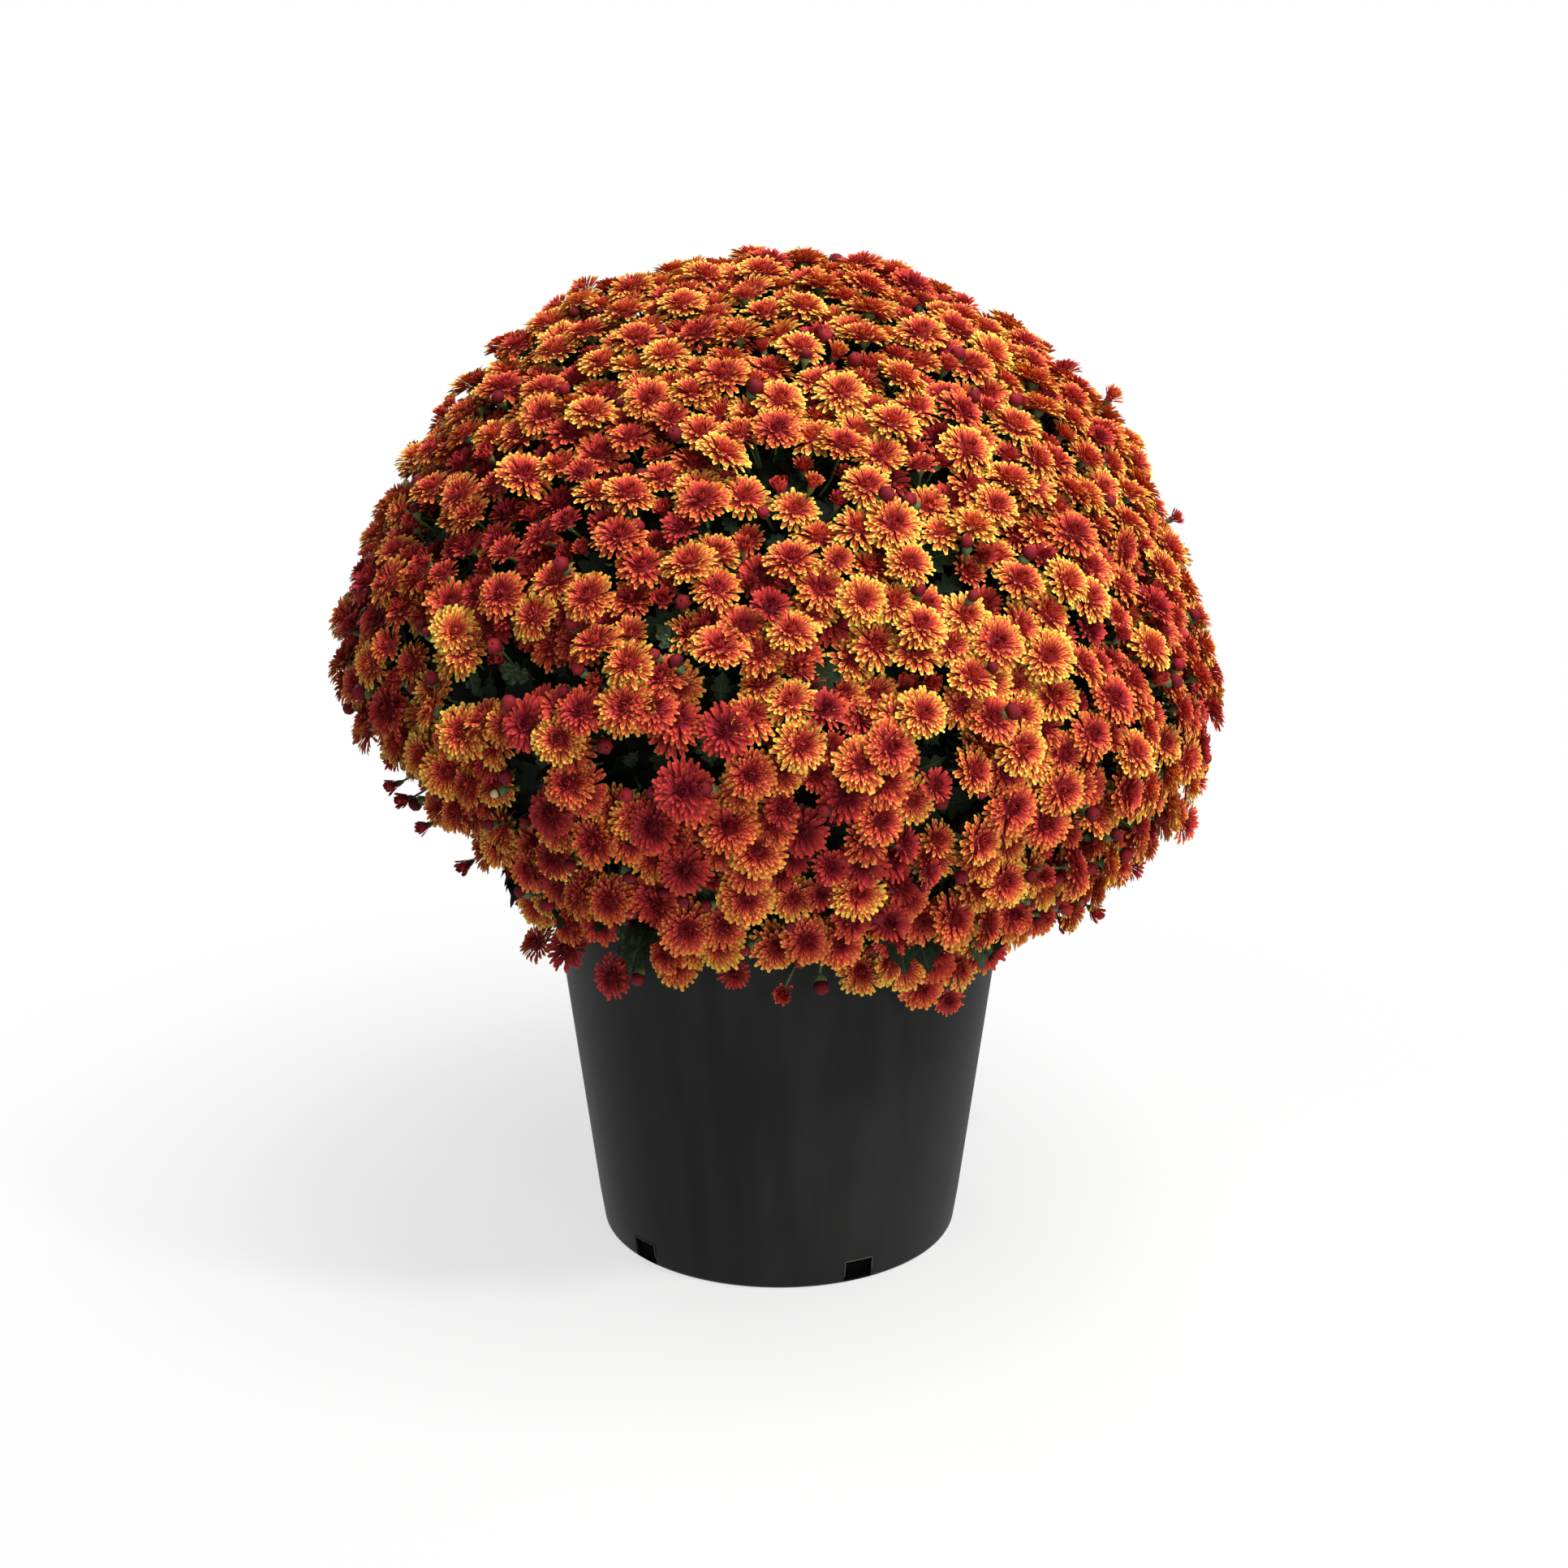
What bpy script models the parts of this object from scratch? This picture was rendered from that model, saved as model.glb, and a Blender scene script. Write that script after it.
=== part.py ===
"""Garden chrysanthemum in its black nursery pot: a dome of small layered heads on short branches."""
import math
import random

import bpy
from mathutils import Matrix, Vector
from mathutils.bvhtree import BVHTree
from mathutils.geometry import delaunay_2d_cdt

MM = 0.001

# Pot: a plain tapered nursery pot with a rim band and a ring of drain windows at its foot.
POT_SIDES = 36
POT_BASE_RADIUS = 110 * MM
POT_TAPER = 0.126
POT_HEIGHT = 245 * MM
POT_WALL = 2 * MM
POT_FLOOR = 2.6 * MM
POT_FOOT_BEVEL = 3 * MM
RIM_DEPTH = 13 * MM
RIM_STEP = 4 * MM
WINDOW_COUNT = 5
WINDOW_FIRST = math.radians(25.2)
WINDOW_WIDTH = 16 * MM
WINDOW_HEIGHT = 13 * MM
WINDOW_INNER_RADIUS = 98 * MM

# Soil: fills the pot, with a blind hole for each branch.
FIT_GAP = 0.3 * MM
SOIL_TOP = 220 * MM
SOIL_CROWN = 5 * MM
HOLE_DEPTH = 34 * MM
HOLE_SIDES = 6

# Dome: the surface that the middles of the heads lie on.
DOME_CENTRE_Z = 370 * MM
DOME_HALF_WIDTH = 257 * MM
DOME_HALF_HEIGHT = 225 * MM
DOME_POWER = 1.72
DOME_LEAN = math.radians(5.2)
HEADS_LOWEST = math.radians(-36)
CORE_LOWEST = math.radians(-30.5)

# Swellings and hollows of the dome: azimuth and elevation in degrees, then how far it stands out.
LUMP_WIDTH = math.radians(17)
LUMPS = [
    (180, 20, -8 * MM),
    (180, 46, 6 * MM),
    (180, -30, -10 * MM),
    (0, -28, 10 * MM),
    (0, 30, -3 * MM),
    (-60, 38, 5 * MM),
    (-115, -6, 4 * MM),
    (60, 12, 6 * MM),
    (100, -18, -6 * MM),
    (135, 34, -5 * MM),
    (120, 5, 5 * MM),
]

# Sprays: each is a thin piece of the dome with its heads and buds standing out of it.
SPRAY_COUNT = 14
CORE_DEPTH = 20 * MM
CORE_THICKNESS = 5 * MM
CORE_SLIT_ANGLE = 0.008
CORE_EDGE_STEP = 0.22
FOOT_RADIUS = 3.1 * MM
FOOT_MARGIN = 0.034

# Heads: an outer ring of petal tips with notches between, and a raised inner ring.
HEAD_COUNT = 284
HEAD_RADIUS = 27.5 * MM
HEAD_SMALLEST = 15 * MM
PETALS = 7
INNER_PETALS = 5
NOTCH_SHARE = 0.75
INNER_SHARE = 0.52
NOTCH_DROP = 3 * MM
INNER_RISE = 5.5 * MM
MIDDLE_RISE = 2 * MM
LEVEL_STEP = 5.5 * MM
UPWARD_SHARE = 0.32
LOWEST_FACING = math.sin(math.radians(-6))

# Buds: small closed heads in the gaps.
BUDS_PER_SPRAY = 2
BUD_RADIUS = 5.2 * MM

# Branches and leaves.
BRANCH_COUNT = 6
BRANCH_RING = 28 * MM
BRANCH_RADIUS = 4.6 * MM
FORK_RING = 50 * MM
FORK_Z = 272 * MM
ARM_SIDES = 4
ARM_RADIUS = 3.2 * MM
ARM_TIP_RADIUS = 0.6 * MM
ARM_TIP_GAP = 0.75 * MM
SHOOT_RADIUS = 1.7 * MM
SHOOT_KNOB = 3.6 * MM
WINDOW_SHOOTS = 10
WINDOW_CUT = 0.062
WINDOW_CLEAR = 21 * MM
LEAF_LENGTH = 43 * MM
LEAF_HALF_THICKNESS = 1.2 * MM
LEAVES_PER_SHOOT = 3
SKIRT_LEAVES = 2

BLACK = (0.012, 0.012, 0.013)
SOIL_BROWN = (0.045, 0.028, 0.018)
LEAF_GREEN = (0.12, 0.17, 0.08)
PETAL_ORANGE = (0.78, 0.2, 0.02)

DOME_CENTRE = Vector((0, 0, DOME_CENTRE_Z))
LEAN = Matrix.Rotation(DOME_LEAN, 3, "Y")
UP = Vector((0, 0, 1))


def clear_scene():
    for item in list(bpy.data.objects):
        bpy.data.objects.remove(item, do_unlink=True)


def make_object(name, verts, faces, colour=None, roughness=0.6):
    """Make one object from points and faces, with its own material if a colour is given."""
    mesh = bpy.data.meshes.new(name)
    mesh.from_pydata([tuple(v) for v in verts], [], faces)
    mesh.update()
    item = bpy.data.objects.new(name, mesh)
    bpy.context.scene.collection.objects.link(item)
    if colour:
        paint(item, colour, roughness)
    return item


def paint(item, colour, roughness):
    material = bpy.data.materials.new(item.name)
    material.use_nodes = True
    shader = material.node_tree.nodes["Principled BSDF"]
    shader.inputs["Base Color"].default_value = (*colour, 1)
    shader.inputs["Roughness"].default_value = roughness
    item.data.materials.clear()
    item.data.materials.append(material)


def combine(item, others, operation):
    """Apply one Boolean with all the other objects, then remove them."""
    group = bpy.data.collections.new(item.name + " pieces")
    bpy.context.scene.collection.children.link(group)
    for other in others:
        group.objects.link(other)
    modifier = item.modifiers.new("combine", "BOOLEAN")
    modifier.operation = operation
    modifier.operand_type = "COLLECTION"
    modifier.collection = group
    modifier.solver = "MANIFOLD"
    depsgraph = bpy.context.evaluated_depsgraph_get()
    result = bpy.data.meshes.new_from_object(item.evaluated_get(depsgraph))
    item.modifiers.clear()
    item.data = result
    for other in others:
        bpy.data.objects.remove(other, do_unlink=True)
    bpy.data.collections.remove(group)


def turned(profile, sides):
    """Turn a profile of (radius, height) pairs about Z; it starts and ends on the axis."""
    verts = [Vector((0, 0, profile[0][1]))]
    rings = []
    for radius, height in profile[1:-1]:
        ring = []
        for i in range(sides):
            angle = 2 * math.pi * (i + 0.5) / sides
            ring.append(len(verts))
            verts.append(Vector((radius * math.cos(angle), radius * math.sin(angle), height)))
        rings.append(ring)
    last = len(verts)
    verts.append(Vector((0, 0, profile[-1][1])))
    faces = []
    for i in range(sides):
        j = (i + 1) % sides
        faces.append((0, rings[0][j], rings[0][i]))
        faces.append((last, rings[-1][i], rings[-1][j]))
        for low, high in zip(rings, rings[1:]):
            faces.append((low[i], low[j], high[j], high[i]))
    return verts, faces


def block(low, high):
    """A box between two corners."""
    verts = []
    for x in (low[0], high[0]):
        for y in (low[1], high[1]):
            for z in (low[2], high[2]):
                verts.append(Vector((x, y, z)))
    faces = [(0, 1, 3, 2), (4, 6, 7, 5), (0, 4, 5, 1), (2, 3, 7, 6), (0, 2, 6, 4), (1, 5, 7, 3)]
    return verts, faces


def pot_radius(z):
    return POT_BASE_RADIUS + POT_TAPER * z


def make_pot():
    rim_low = POT_HEIGHT - RIM_DEPTH
    inner_top = pot_radius(POT_HEIGHT) - POT_WALL
    profile = [
        (0, 0),
        (POT_BASE_RADIUS - POT_FOOT_BEVEL, 0),
        (pot_radius(POT_FOOT_BEVEL), POT_FOOT_BEVEL),
        (pot_radius(rim_low), rim_low),
        (pot_radius(rim_low) + RIM_STEP, rim_low + 1.5 * MM),
        (pot_radius(POT_HEIGHT) + RIM_STEP, POT_HEIGHT),
        (inner_top, POT_HEIGHT),
        (pot_radius(POT_FLOOR) - POT_WALL, POT_FLOOR),
        (0, POT_FLOOR),
    ]
    pot = make_object("pot", *turned(profile, POT_SIDES), BLACK, 0.42)
    cutters = []
    for i in range(WINDOW_COUNT):
        half = WINDOW_WIDTH / 2
        box = block((-half, -POT_BASE_RADIUS - 0.02, -0.01), (half, -WINDOW_INNER_RADIUS, WINDOW_HEIGHT))
        turn = Matrix.Rotation(WINDOW_FIRST + i * 2 * math.pi / WINDOW_COUNT, 3, "Z")
        cutters.append(make_object("cutter", [turn @ v for v in box[0]], box[1]))
    combine(pot, cutters, "DIFFERENCE")
    return pot


def make_soil():
    low = POT_FLOOR + FIT_GAP
    inset = POT_WALL + FIT_GAP * 1.1
    profile = [
        (0, low),
        (pot_radius(low) - inset, low),
        (pot_radius(SOIL_TOP) - inset, SOIL_TOP),
        (0, SOIL_TOP + SOIL_CROWN),
    ]
    soil = make_object("soil", *turned(profile, POT_SIDES), SOIL_BROWN, 0.95)
    cutters = []
    for i in range(BRANCH_COUNT):
        foot = branch_foot(i)
        radius = BRANCH_RADIUS + 1.3 * FIT_GAP
        low_end = foot - UP * FIT_GAP
        high_end = Vector((foot.x, foot.y, SOIL_TOP + 2 * SOIL_CROWN))
        verts, faces = tube([low_end, high_end], [radius, radius], HOLE_SIDES)
        cutters.append(make_object("cutter", verts, faces))
    combine(soil, cutters, "DIFFERENCE")
    return soil


def branch_angle(i):
    return 2 * math.pi * (i + 0.5) / BRANCH_COUNT


def branch_foot(i):
    angle = branch_angle(i)
    ring = BRANCH_RING
    return Vector((ring * math.cos(angle), ring * math.sin(angle), SOIL_TOP - HOLE_DEPTH))


def tube(path, radii, sides):
    """A closed tube along a path, with flat ends."""
    verts = []
    rings = []
    side = None
    for k, point in enumerate(path):
        before = path[max(k - 1, 0)]
        after = path[min(k + 1, len(path) - 1)]
        along = (after - before).normalized()
        if side is None:
            start = Vector((1, 0, 0)) if abs(along.x) < 0.8 else Vector((0, 1, 0))
            side = start
        side = (side - along * side.dot(along)).normalized()
        other = along.cross(side)
        ring = []
        for i in range(sides):
            angle = 2 * math.pi * i / sides
            ring.append(len(verts))
            verts.append(point + (side * math.cos(angle) + other * math.sin(angle)) * radii[k])
        rings.append(ring)
    faces = [tuple(reversed(rings[0])), tuple(rings[-1])]
    for low, high in zip(rings, rings[1:]):
        for i in range(sides):
            j = (i + 1) % sides
            faces.append((low[i], low[j], high[j], high[i]))
    return verts, faces


def pointing(azimuth, elevation):
    turn = math.radians(azimuth)
    rise = math.radians(elevation)
    return Vector((math.cos(turn) * math.cos(rise), math.sin(turn) * math.cos(rise), math.sin(rise)))


def dome_reach(direction):
    """Distance from the dome's centre to its surface along a direction."""
    flat = math.hypot(direction.x, direction.y) / DOME_HALF_WIDTH
    tall = abs(direction.z) / DOME_HALF_HEIGHT
    reach = (flat ** DOME_POWER + tall ** DOME_POWER) ** (-1 / DOME_POWER)
    for azimuth, elevation, height in LUMPS:
        away = direction.angle(pointing(azimuth, elevation)) / LUMP_WIDTH
        if away < 3:
            reach += height * math.exp(-away * away)
    return reach


def on_dome(direction, inset=0.0):
    """The point of the upright dome along a direction, moved inward by the inset."""
    return direction * (dome_reach(direction) - inset)


def dome_normal(direction):
    point = on_dome(direction)
    flat = math.hypot(point.x, point.y)
    spread = (flat / DOME_HALF_WIDTH) ** (DOME_POWER - 1) / DOME_HALF_WIDTH
    rise = (abs(point.z) / DOME_HALF_HEIGHT) ** (DOME_POWER - 1) / DOME_HALF_HEIGHT
    out = Vector((point.x, point.y, 0)) / max(flat, 1e-9)
    return (out * spread + UP * math.copysign(rise, point.z)).normalized()


def to_world(point):
    return LEAN @ point + DOME_CENTRE


def not_below(direction, lowest):
    if direction.z >= math.sin(lowest):
        return direction
    flat = Vector((direction.x, direction.y, 0)).normalized()
    return flat * math.cos(lowest) + UP * math.sin(lowest)


def dome_area(lowest):
    """Area of the dome above an elevation, added up in thin rings."""
    steps = 200
    area = 0.0
    last = None
    for k in range(steps + 1):
        angle = lowest + (math.pi / 2 - lowest) * k / steps
        point = on_dome(Vector((math.cos(angle), 0, math.sin(angle))))
        if last is not None:
            area += math.pi * (point.x + last.x) * (point - last).length
        last = point
    return area


def spread_over_dome(count, rng, lowest, passes):
    """Directions placed at random over the dome, then pushed apart until evenly spaced."""
    directions = []
    points = []
    while len(directions) < count:
        best_gap = -1.0
        best = None
        for _ in range(8):
            height = rng.uniform(math.sin(lowest), 1)
            angle = rng.uniform(0, 2 * math.pi)
            flat = math.sqrt(1 - height * height)
            trial = Vector((flat * math.cos(angle), flat * math.sin(angle), height))
            place = on_dome(trial)
            gap = min(((place - other).length for other in points), default=1.0)
            if gap > best_gap:
                best_gap = gap
                best = trial
        directions.append(best)
        points.append(on_dome(best))
    pitch = math.sqrt(dome_area(lowest) / count * 1.1547)
    for _ in range(passes):
        moved = []
        for i, place in enumerate(points):
            push = Vector()
            for j, other in enumerate(points):
                away = place - other
                gap = away.length
                if i != j and gap < 1.25 * pitch:
                    push += away / gap * (1.25 * pitch - gap) * 0.2
            moved.append(not_below((place + push).normalized(), lowest))
        directions = moved
        points = [on_dome(direction) for direction in directions]
    return directions


class Cell:
    """One spray's share of the dome, on a flat chart where its edges are straight."""

    def __init__(self, index, centres):
        self.centre = centres[index]
        start = UP if abs(self.centre.z) < 0.9 else Vector((1, 0, 0))
        self.side = start.cross(self.centre).normalized()
        self.other = self.centre.cross(self.side)
        self.limits = []
        for j, centre in enumerate(centres):
            if j != index:
                self.add_limit((self.centre - centre).normalized(), CORE_SLIT_ANGLE * 1.1)
        if self.centre.z < 0.75:
            out = Vector((self.centre.x, self.centre.y, 0)).normalized()
            self.add_limit(UP * math.cos(CORE_LOWEST) - out * math.sin(CORE_LOWEST), 0)
        self.heads = []
        self.shape_outline()

    def add_limit(self, normal, offset):
        across = Vector((normal.dot(self.side), normal.dot(self.other)))
        size = across.length
        self.limits.append((across.x / size, across.y / size, (normal.dot(self.centre) - offset) / size))

    def cut_corner(self, gap):
        """Keep the cell back from a leafy shoot that comes through beside it."""
        spot = self.chart(gap)
        inward = -spot.normalized()
        self.limits.append((inward.x, inward.y, -inward.dot(spot) - WINDOW_CUT))

    def chart(self, direction):
        scale = direction.dot(self.centre)
        return Vector((direction.dot(self.side) / scale, direction.dot(self.other) / scale))

    def direction(self, spot):
        return (self.centre + self.side * spot.x + self.other * spot.y).normalized()

    def shape_outline(self):
        outline = [Vector((-1.6, -1.6)), Vector((1.6, -1.6)), Vector((1.6, 1.6)), Vector((-1.6, 1.6))]
        for a, b, c in self.limits:
            kept = []
            for k, here in enumerate(outline):
                before = outline[k - 1]
                side_here = a * here.x + b * here.y + c
                side_before = a * before.x + b * before.y + c
                if (side_here > 0) != (side_before > 0):
                    share = side_before / (side_before - side_here)
                    kept.append(before + (here - before) * share)
                if side_here > 0:
                    kept.append(here)
            outline = kept
        self.corners = outline

    def edge_points(self):
        """The outline with points added along its long edges, each bowed out a little."""
        spots = []
        for k, start in enumerate(self.corners):
            end = self.corners[(k + 1) % len(self.corners)]
            along = end - start
            if along.length < 0.012:
                continue
            outward = Vector((along.y, -along.x)).normalized()
            pieces = max(1, round(along.length / CORE_EDGE_STEP))
            for i in range(pieces):
                share = i / pieces
                bow = 0.006 * share * (1 - share)
                spots.append(start + along * share + outward * bow)
        return spots

    def move_inside(self, spot, margin):
        for _ in range(12):
            for a, b, c in self.limits:
                short = margin - (a * spot.x + b * spot.y + c)
                if short > 0:
                    spot = spot + Vector((a, b)) * short
        return spot


class Head:
    """One flower head or bud: where it sits, the way it faces and how large it is."""

    def __init__(self, direction, level, radius, turn, petals):
        self.place_on(direction)
        self.level = level
        self.radius = radius
        self.turn = turn
        self.petals = petals
        self.foot = None

    def place_on(self, direction):
        self.direction = direction
        normal = dome_normal(direction)
        facing = (normal + UP * UPWARD_SHARE).normalized()
        if facing.z < LOWEST_FACING:
            flat = Vector((facing.x, facing.y, 0)).normalized()
            facing = flat * math.sqrt(1 - LOWEST_FACING ** 2) + UP * LOWEST_FACING
        self.normal = normal
        self.facing = facing
        start = UP if abs(facing.z) < 0.9 else Vector((1, 0, 0))
        self.side = start.cross(facing).normalized()
        self.other = facing.cross(self.side)

    def middle(self):
        return on_dome(self.direction) + self.normal * self.level * LEVEL_STEP

    def at(self, share, angle, rise):
        flat = (self.side * math.cos(angle) + self.other * math.sin(angle)) * self.radius * share
        return self.middle() + flat + self.facing * rise

    def shape(self, grow=1.0):
        """Points and faces above the foot; the last three points are the foot's."""
        if self.petals == 0:
            return self.bud_shape(grow)
        step = 2 * math.pi / self.petals
        scale = self.radius / HEAD_RADIUS
        verts = []
        for k in range(self.petals):
            angle = self.turn + k * step
            lift = 1.2 * MM * math.sin(5 * self.turn + 2.1 * k)
            verts.append(self.at(grow, angle, lift))
            verts.append(self.at(NOTCH_SHARE * grow, angle + step / 2, -NOTCH_DROP * scale))
        rim = len(verts)
        inner_step = 2 * math.pi / INNER_PETALS
        for k in range(INNER_PETALS):
            verts.append(self.at(INNER_SHARE, self.turn + (k + 0.5) * inner_step, INNER_RISE * scale))
        middle = len(verts)
        verts.append(self.at(0, 0, MIDDLE_RISE * scale))
        faces = []
        for k in range(INNER_PETALS):
            faces.append((middle, rim + k, rim + (k + 1) % INNER_PETALS))
        joined = self.nearest(verts, rim, verts[rim:middle], self.middle())
        for k in range(rim):
            faces.append((k, (k + 1) % rim, rim + joined[k]))
            if joined[k - 1] != joined[k]:
                faces.append((k, rim + joined[k], rim + joined[k - 1]))
        return self.with_foot(verts, faces, rim)

    def bud_shape(self, grow):
        verts = []
        for k in range(4):
            verts.append(self.at(grow, self.turn + k * math.pi / 2, -2 * MM))
        verts.append(self.at(0, 0, 5 * MM * grow))
        faces = [(4, k, (k + 1) % 4) for k in range(4)]
        return self.with_foot(verts, faces, 4)

    def nearest(self, verts, rim, ring, centre):
        """For each edge of the rim, which point of a smaller ring lies closest in angle."""
        angles = []
        for point in ring:
            offset = point - centre
            angles.append(math.atan2(offset.dot(self.other), offset.dot(self.side)))
        joined = []
        for k in range(rim):
            both = verts[k] + verts[(k + 1) % rim] - 2 * self.middle()
            angle = math.atan2(both.dot(self.other), both.dot(self.side))
            gaps = [abs(math.remainder(angle - other, 2 * math.pi)) for other in angles]
            joined.append(gaps.index(min(gaps)))
        return joined

    def with_foot(self, verts, faces, rim):
        """Join the rim's underside to the three points of the foot."""
        centre = sum(self.foot, Vector()) / 3
        first = len(verts)
        verts = verts + list(self.foot)
        joined = self.nearest(verts, rim, self.foot, centre)
        for k in range(rim):
            faces.append(((k + 1) % rim, k, first + joined[k]))
            if joined[k - 1] != joined[k]:
                faces.append((k, first + joined[k - 1], first + joined[k]))
        return verts, faces

    def set_foot(self, cell, spot):
        self.foot_spots = []
        self.foot = []
        reach = FOOT_RADIUS / (dome_reach(cell.direction(spot)) - CORE_DEPTH)
        for k in range(3):
            angle = self.turn + k * 2 * math.pi / 3
            corner = spot + Vector((math.cos(angle), math.sin(angle))) * reach
            self.foot_spots.append(corner)
            self.foot.append(on_dome(cell.direction(corner), CORE_DEPTH))

    def tree(self, grow=1.0):
        verts, faces = self.shape(grow)
        last = len(verts)
        return BVHTree.FromPolygons(verts, faces + [(last - 1, last - 2, last - 3)])


def choose_levels(directions, rng):
    """Give close heads different levels, so that their petals pass over each other."""
    points = [on_dome(direction) for direction in directions]
    pitch = math.sqrt(dome_area(HEADS_LOWEST) / len(points) * 1.1547)
    levels = []
    for i, place in enumerate(points):
        crowding = {-1: rng.uniform(0, 0.4), 0: rng.uniform(0, 0.4), 1: rng.uniform(0, 0.4)}
        for j in range(i):
            gap = (place - points[j]).length
            if gap < 1.4 * pitch:
                crowding[levels[j]] += pitch / max(gap, 1e-6)
        levels.append(min(crowding, key=crowding.get))
    return levels


def settle_heads(heads):
    """Shrink and turn heads until none runs into another."""
    for _ in range(40):
        trees = [head.tree(1.05) for head in heads]
        middles = [head.middle() for head in heads]
        clashes = 0
        for i, head in enumerate(heads):
            for j in range(i + 1, len(heads)):
                if (middles[i] - middles[j]).length > 2.3 * HEAD_RADIUS:
                    continue
                if trees[i].overlap(trees[j]):
                    clashes += 1
                    larger = head if head.radius > heads[j].radius else heads[j]
                    larger.radius = max(HEAD_SMALLEST, larger.radius * 0.975)
                    heads[j].turn += 0.21
                    heads[j].refoot()
        if clashes == 0:
            break
    print("clashes left between heads:", clashes)


def refooting(head, cell, spot):
    """Give a head a foot, and a way to turn the foot with the head."""
    def refoot():
        head.set_foot(cell, spot)
    head.refoot = refoot
    refoot()


def spray_mesh(cell):
    """One closed mesh: the cell's outer face opened at each foot, its heads, sides and back."""
    spots = cell.edge_points()
    edge_count = len(spots)
    edges = [(k, (k + 1) % edge_count) for k in range(edge_count)]
    groups = []
    for head in cell.heads:
        first = len(spots)
        spots.extend(head.foot_spots)
        groups.append((first, first + 1, first + 2))
        edges.extend([(first, first + 1), (first + 1, first + 2), (first + 2, first)])
    found = delaunay_2d_cdt(spots, edges, [], 0, 1e-7, True)
    place_of = {}
    for new, olds in enumerate(found[3]):
        place_of[new] = olds[0]
    openings = [set(group) for group in groups]
    verts = [on_dome(cell.direction(spot), CORE_DEPTH) for spot in spots]
    faces = []
    for face in found[2]:
        corners = [place_of[k] for k in face]
        if set(corners) not in openings:
            a, b, c = (spots[k] for k in corners)
            turned_left = (b - a).cross(c - a) > 0
            faces.append(tuple(corners) if turned_left else tuple(reversed(corners)))
    for head, group in zip(cell.heads, groups):
        own_verts, own_faces = head.shape()
        first = len(verts)
        own_count = len(own_verts) - 3
        verts.extend(own_verts[:own_count])
        for face in own_faces:
            faces.append(tuple(first + k if k < own_count else group[k - own_count] for k in face))
    back = len(verts)
    for spot in spots[:edge_count]:
        verts.append(on_dome(cell.direction(spot), CORE_DEPTH + CORE_THICKNESS))
    hub = len(verts)
    verts.append(on_dome(cell.direction(cell.hub), CORE_DEPTH + CORE_THICKNESS))
    for k in range(edge_count):
        j = (k + 1) % edge_count
        faces.append((k, back + k, back + j))
        faces.append((k, back + j, j))
        faces.append((back + j, back + k, hub))
    return [to_world(v) for v in verts], faces


def plan_sprays(rng):
    """Cells, with their heads and buds, and the places where leafy shoots come through."""
    centres = spread_over_dome(SPRAY_COUNT, rng, CORE_LOWEST + 0.24, 25)
    cells = [Cell(k, centres) for k in range(SPRAY_COUNT)]
    gaps = []
    for cell in cells:
        for corner in cell.corners:
            spot = cell.direction(corner)
            near = sorted(range(SPRAY_COUNT), key=lambda k: -spot.dot(centres[k]))[:3]
            middle = equal_distance([centres[k] for k in near])
            new = all(middle.angle(other) > 0.3 for other in gaps)
            if new and middle.z > math.sin(CORE_LOWEST) + 0.17 and middle.angle(spot) < 0.05:
                gaps.append(middle)
    gaps = sorted(gaps, key=lambda d: abs(d.z - 0.25))[:WINDOW_SHOOTS]
    for cell in cells:
        for gap in gaps:
            if cell.centre.angle(gap) < 0.9:
                cell.cut_corner(gap)
        cell.shape_outline()
        cell.hub = sum(cell.corners, Vector((0, 0))) / len(cell.corners)
    return cells, centres, gaps


def equal_distance(three):
    """The direction equally far from three others."""
    a, b, c = three
    middle = (b - a).cross(c - a)
    if middle.length < 1e-9:
        return a.copy()
    middle.normalize()
    return middle if middle.dot(a) > 0 else -middle


def fill_sprays(cells, centres, gaps, rng):
    directions = spread_over_dome(HEAD_COUNT, rng, HEADS_LOWEST, 14)
    levels = choose_levels(directions, rng)
    heads = []
    for direction, level in zip(directions, levels):
        place = on_dome(direction)
        if any((place - on_dome(gap)).length < WINDOW_CLEAR for gap in gaps):
            continue
        radius = HEAD_RADIUS * rng.uniform(0.86, 1.03)
        head = Head(direction, level, radius, rng.uniform(0, 2 * math.pi), PETALS)
        cell = max(cells, key=lambda item: direction.dot(item.centre))
        spot = cell.move_inside(cell.chart(direction), FOOT_MARGIN)
        refooting(head, cell, spot)
        cell.heads.append(head)
        heads.append(head)
    settle_heads(heads)
    print("heads:", len(heads), "smallest mm:", min(head.radius for head in heads) / MM)
    add_buds(cells, heads, rng)


def add_buds(cells, heads, rng):
    """Small buds in gaps between the heads, kept clear of them."""
    trees = [head.tree(1.1) for head in heads]
    middles = [head.middle() for head in heads]
    for cell in cells:
        placed = 0
        for _ in range(400):
            if placed == BUDS_PER_SPRAY:
                break
            spot = Vector((rng.uniform(-0.5, 0.5), rng.uniform(-0.5, 0.5)))
            inside = cell.move_inside(spot, FOOT_MARGIN + 0.01)
            if (inside - spot).length > 1e-6:
                continue
            bud = Head(cell.direction(spot), rng.choice((0, 1)), BUD_RADIUS, rng.uniform(0, 2), 0)
            refooting(bud, cell, spot)
            own = bud.tree(1.5)
            near = [k for k, place in enumerate(middles) if (place - bud.middle()).length < 60 * MM]
            if any(own.overlap(trees[k]) for k in near):
                continue
            cell.heads.append(bud)
            trees.append(own)
            middles.append(bud.middle())
            placed += 1


def make_sprays(cells):
    sprays = []
    for k, cell in enumerate(cells):
        name = "spray_%02d" % (k + 1)
        sprays.append(make_object(name, *spray_mesh(cell), PETAL_ORANGE, 0.7))
    return sprays


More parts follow.
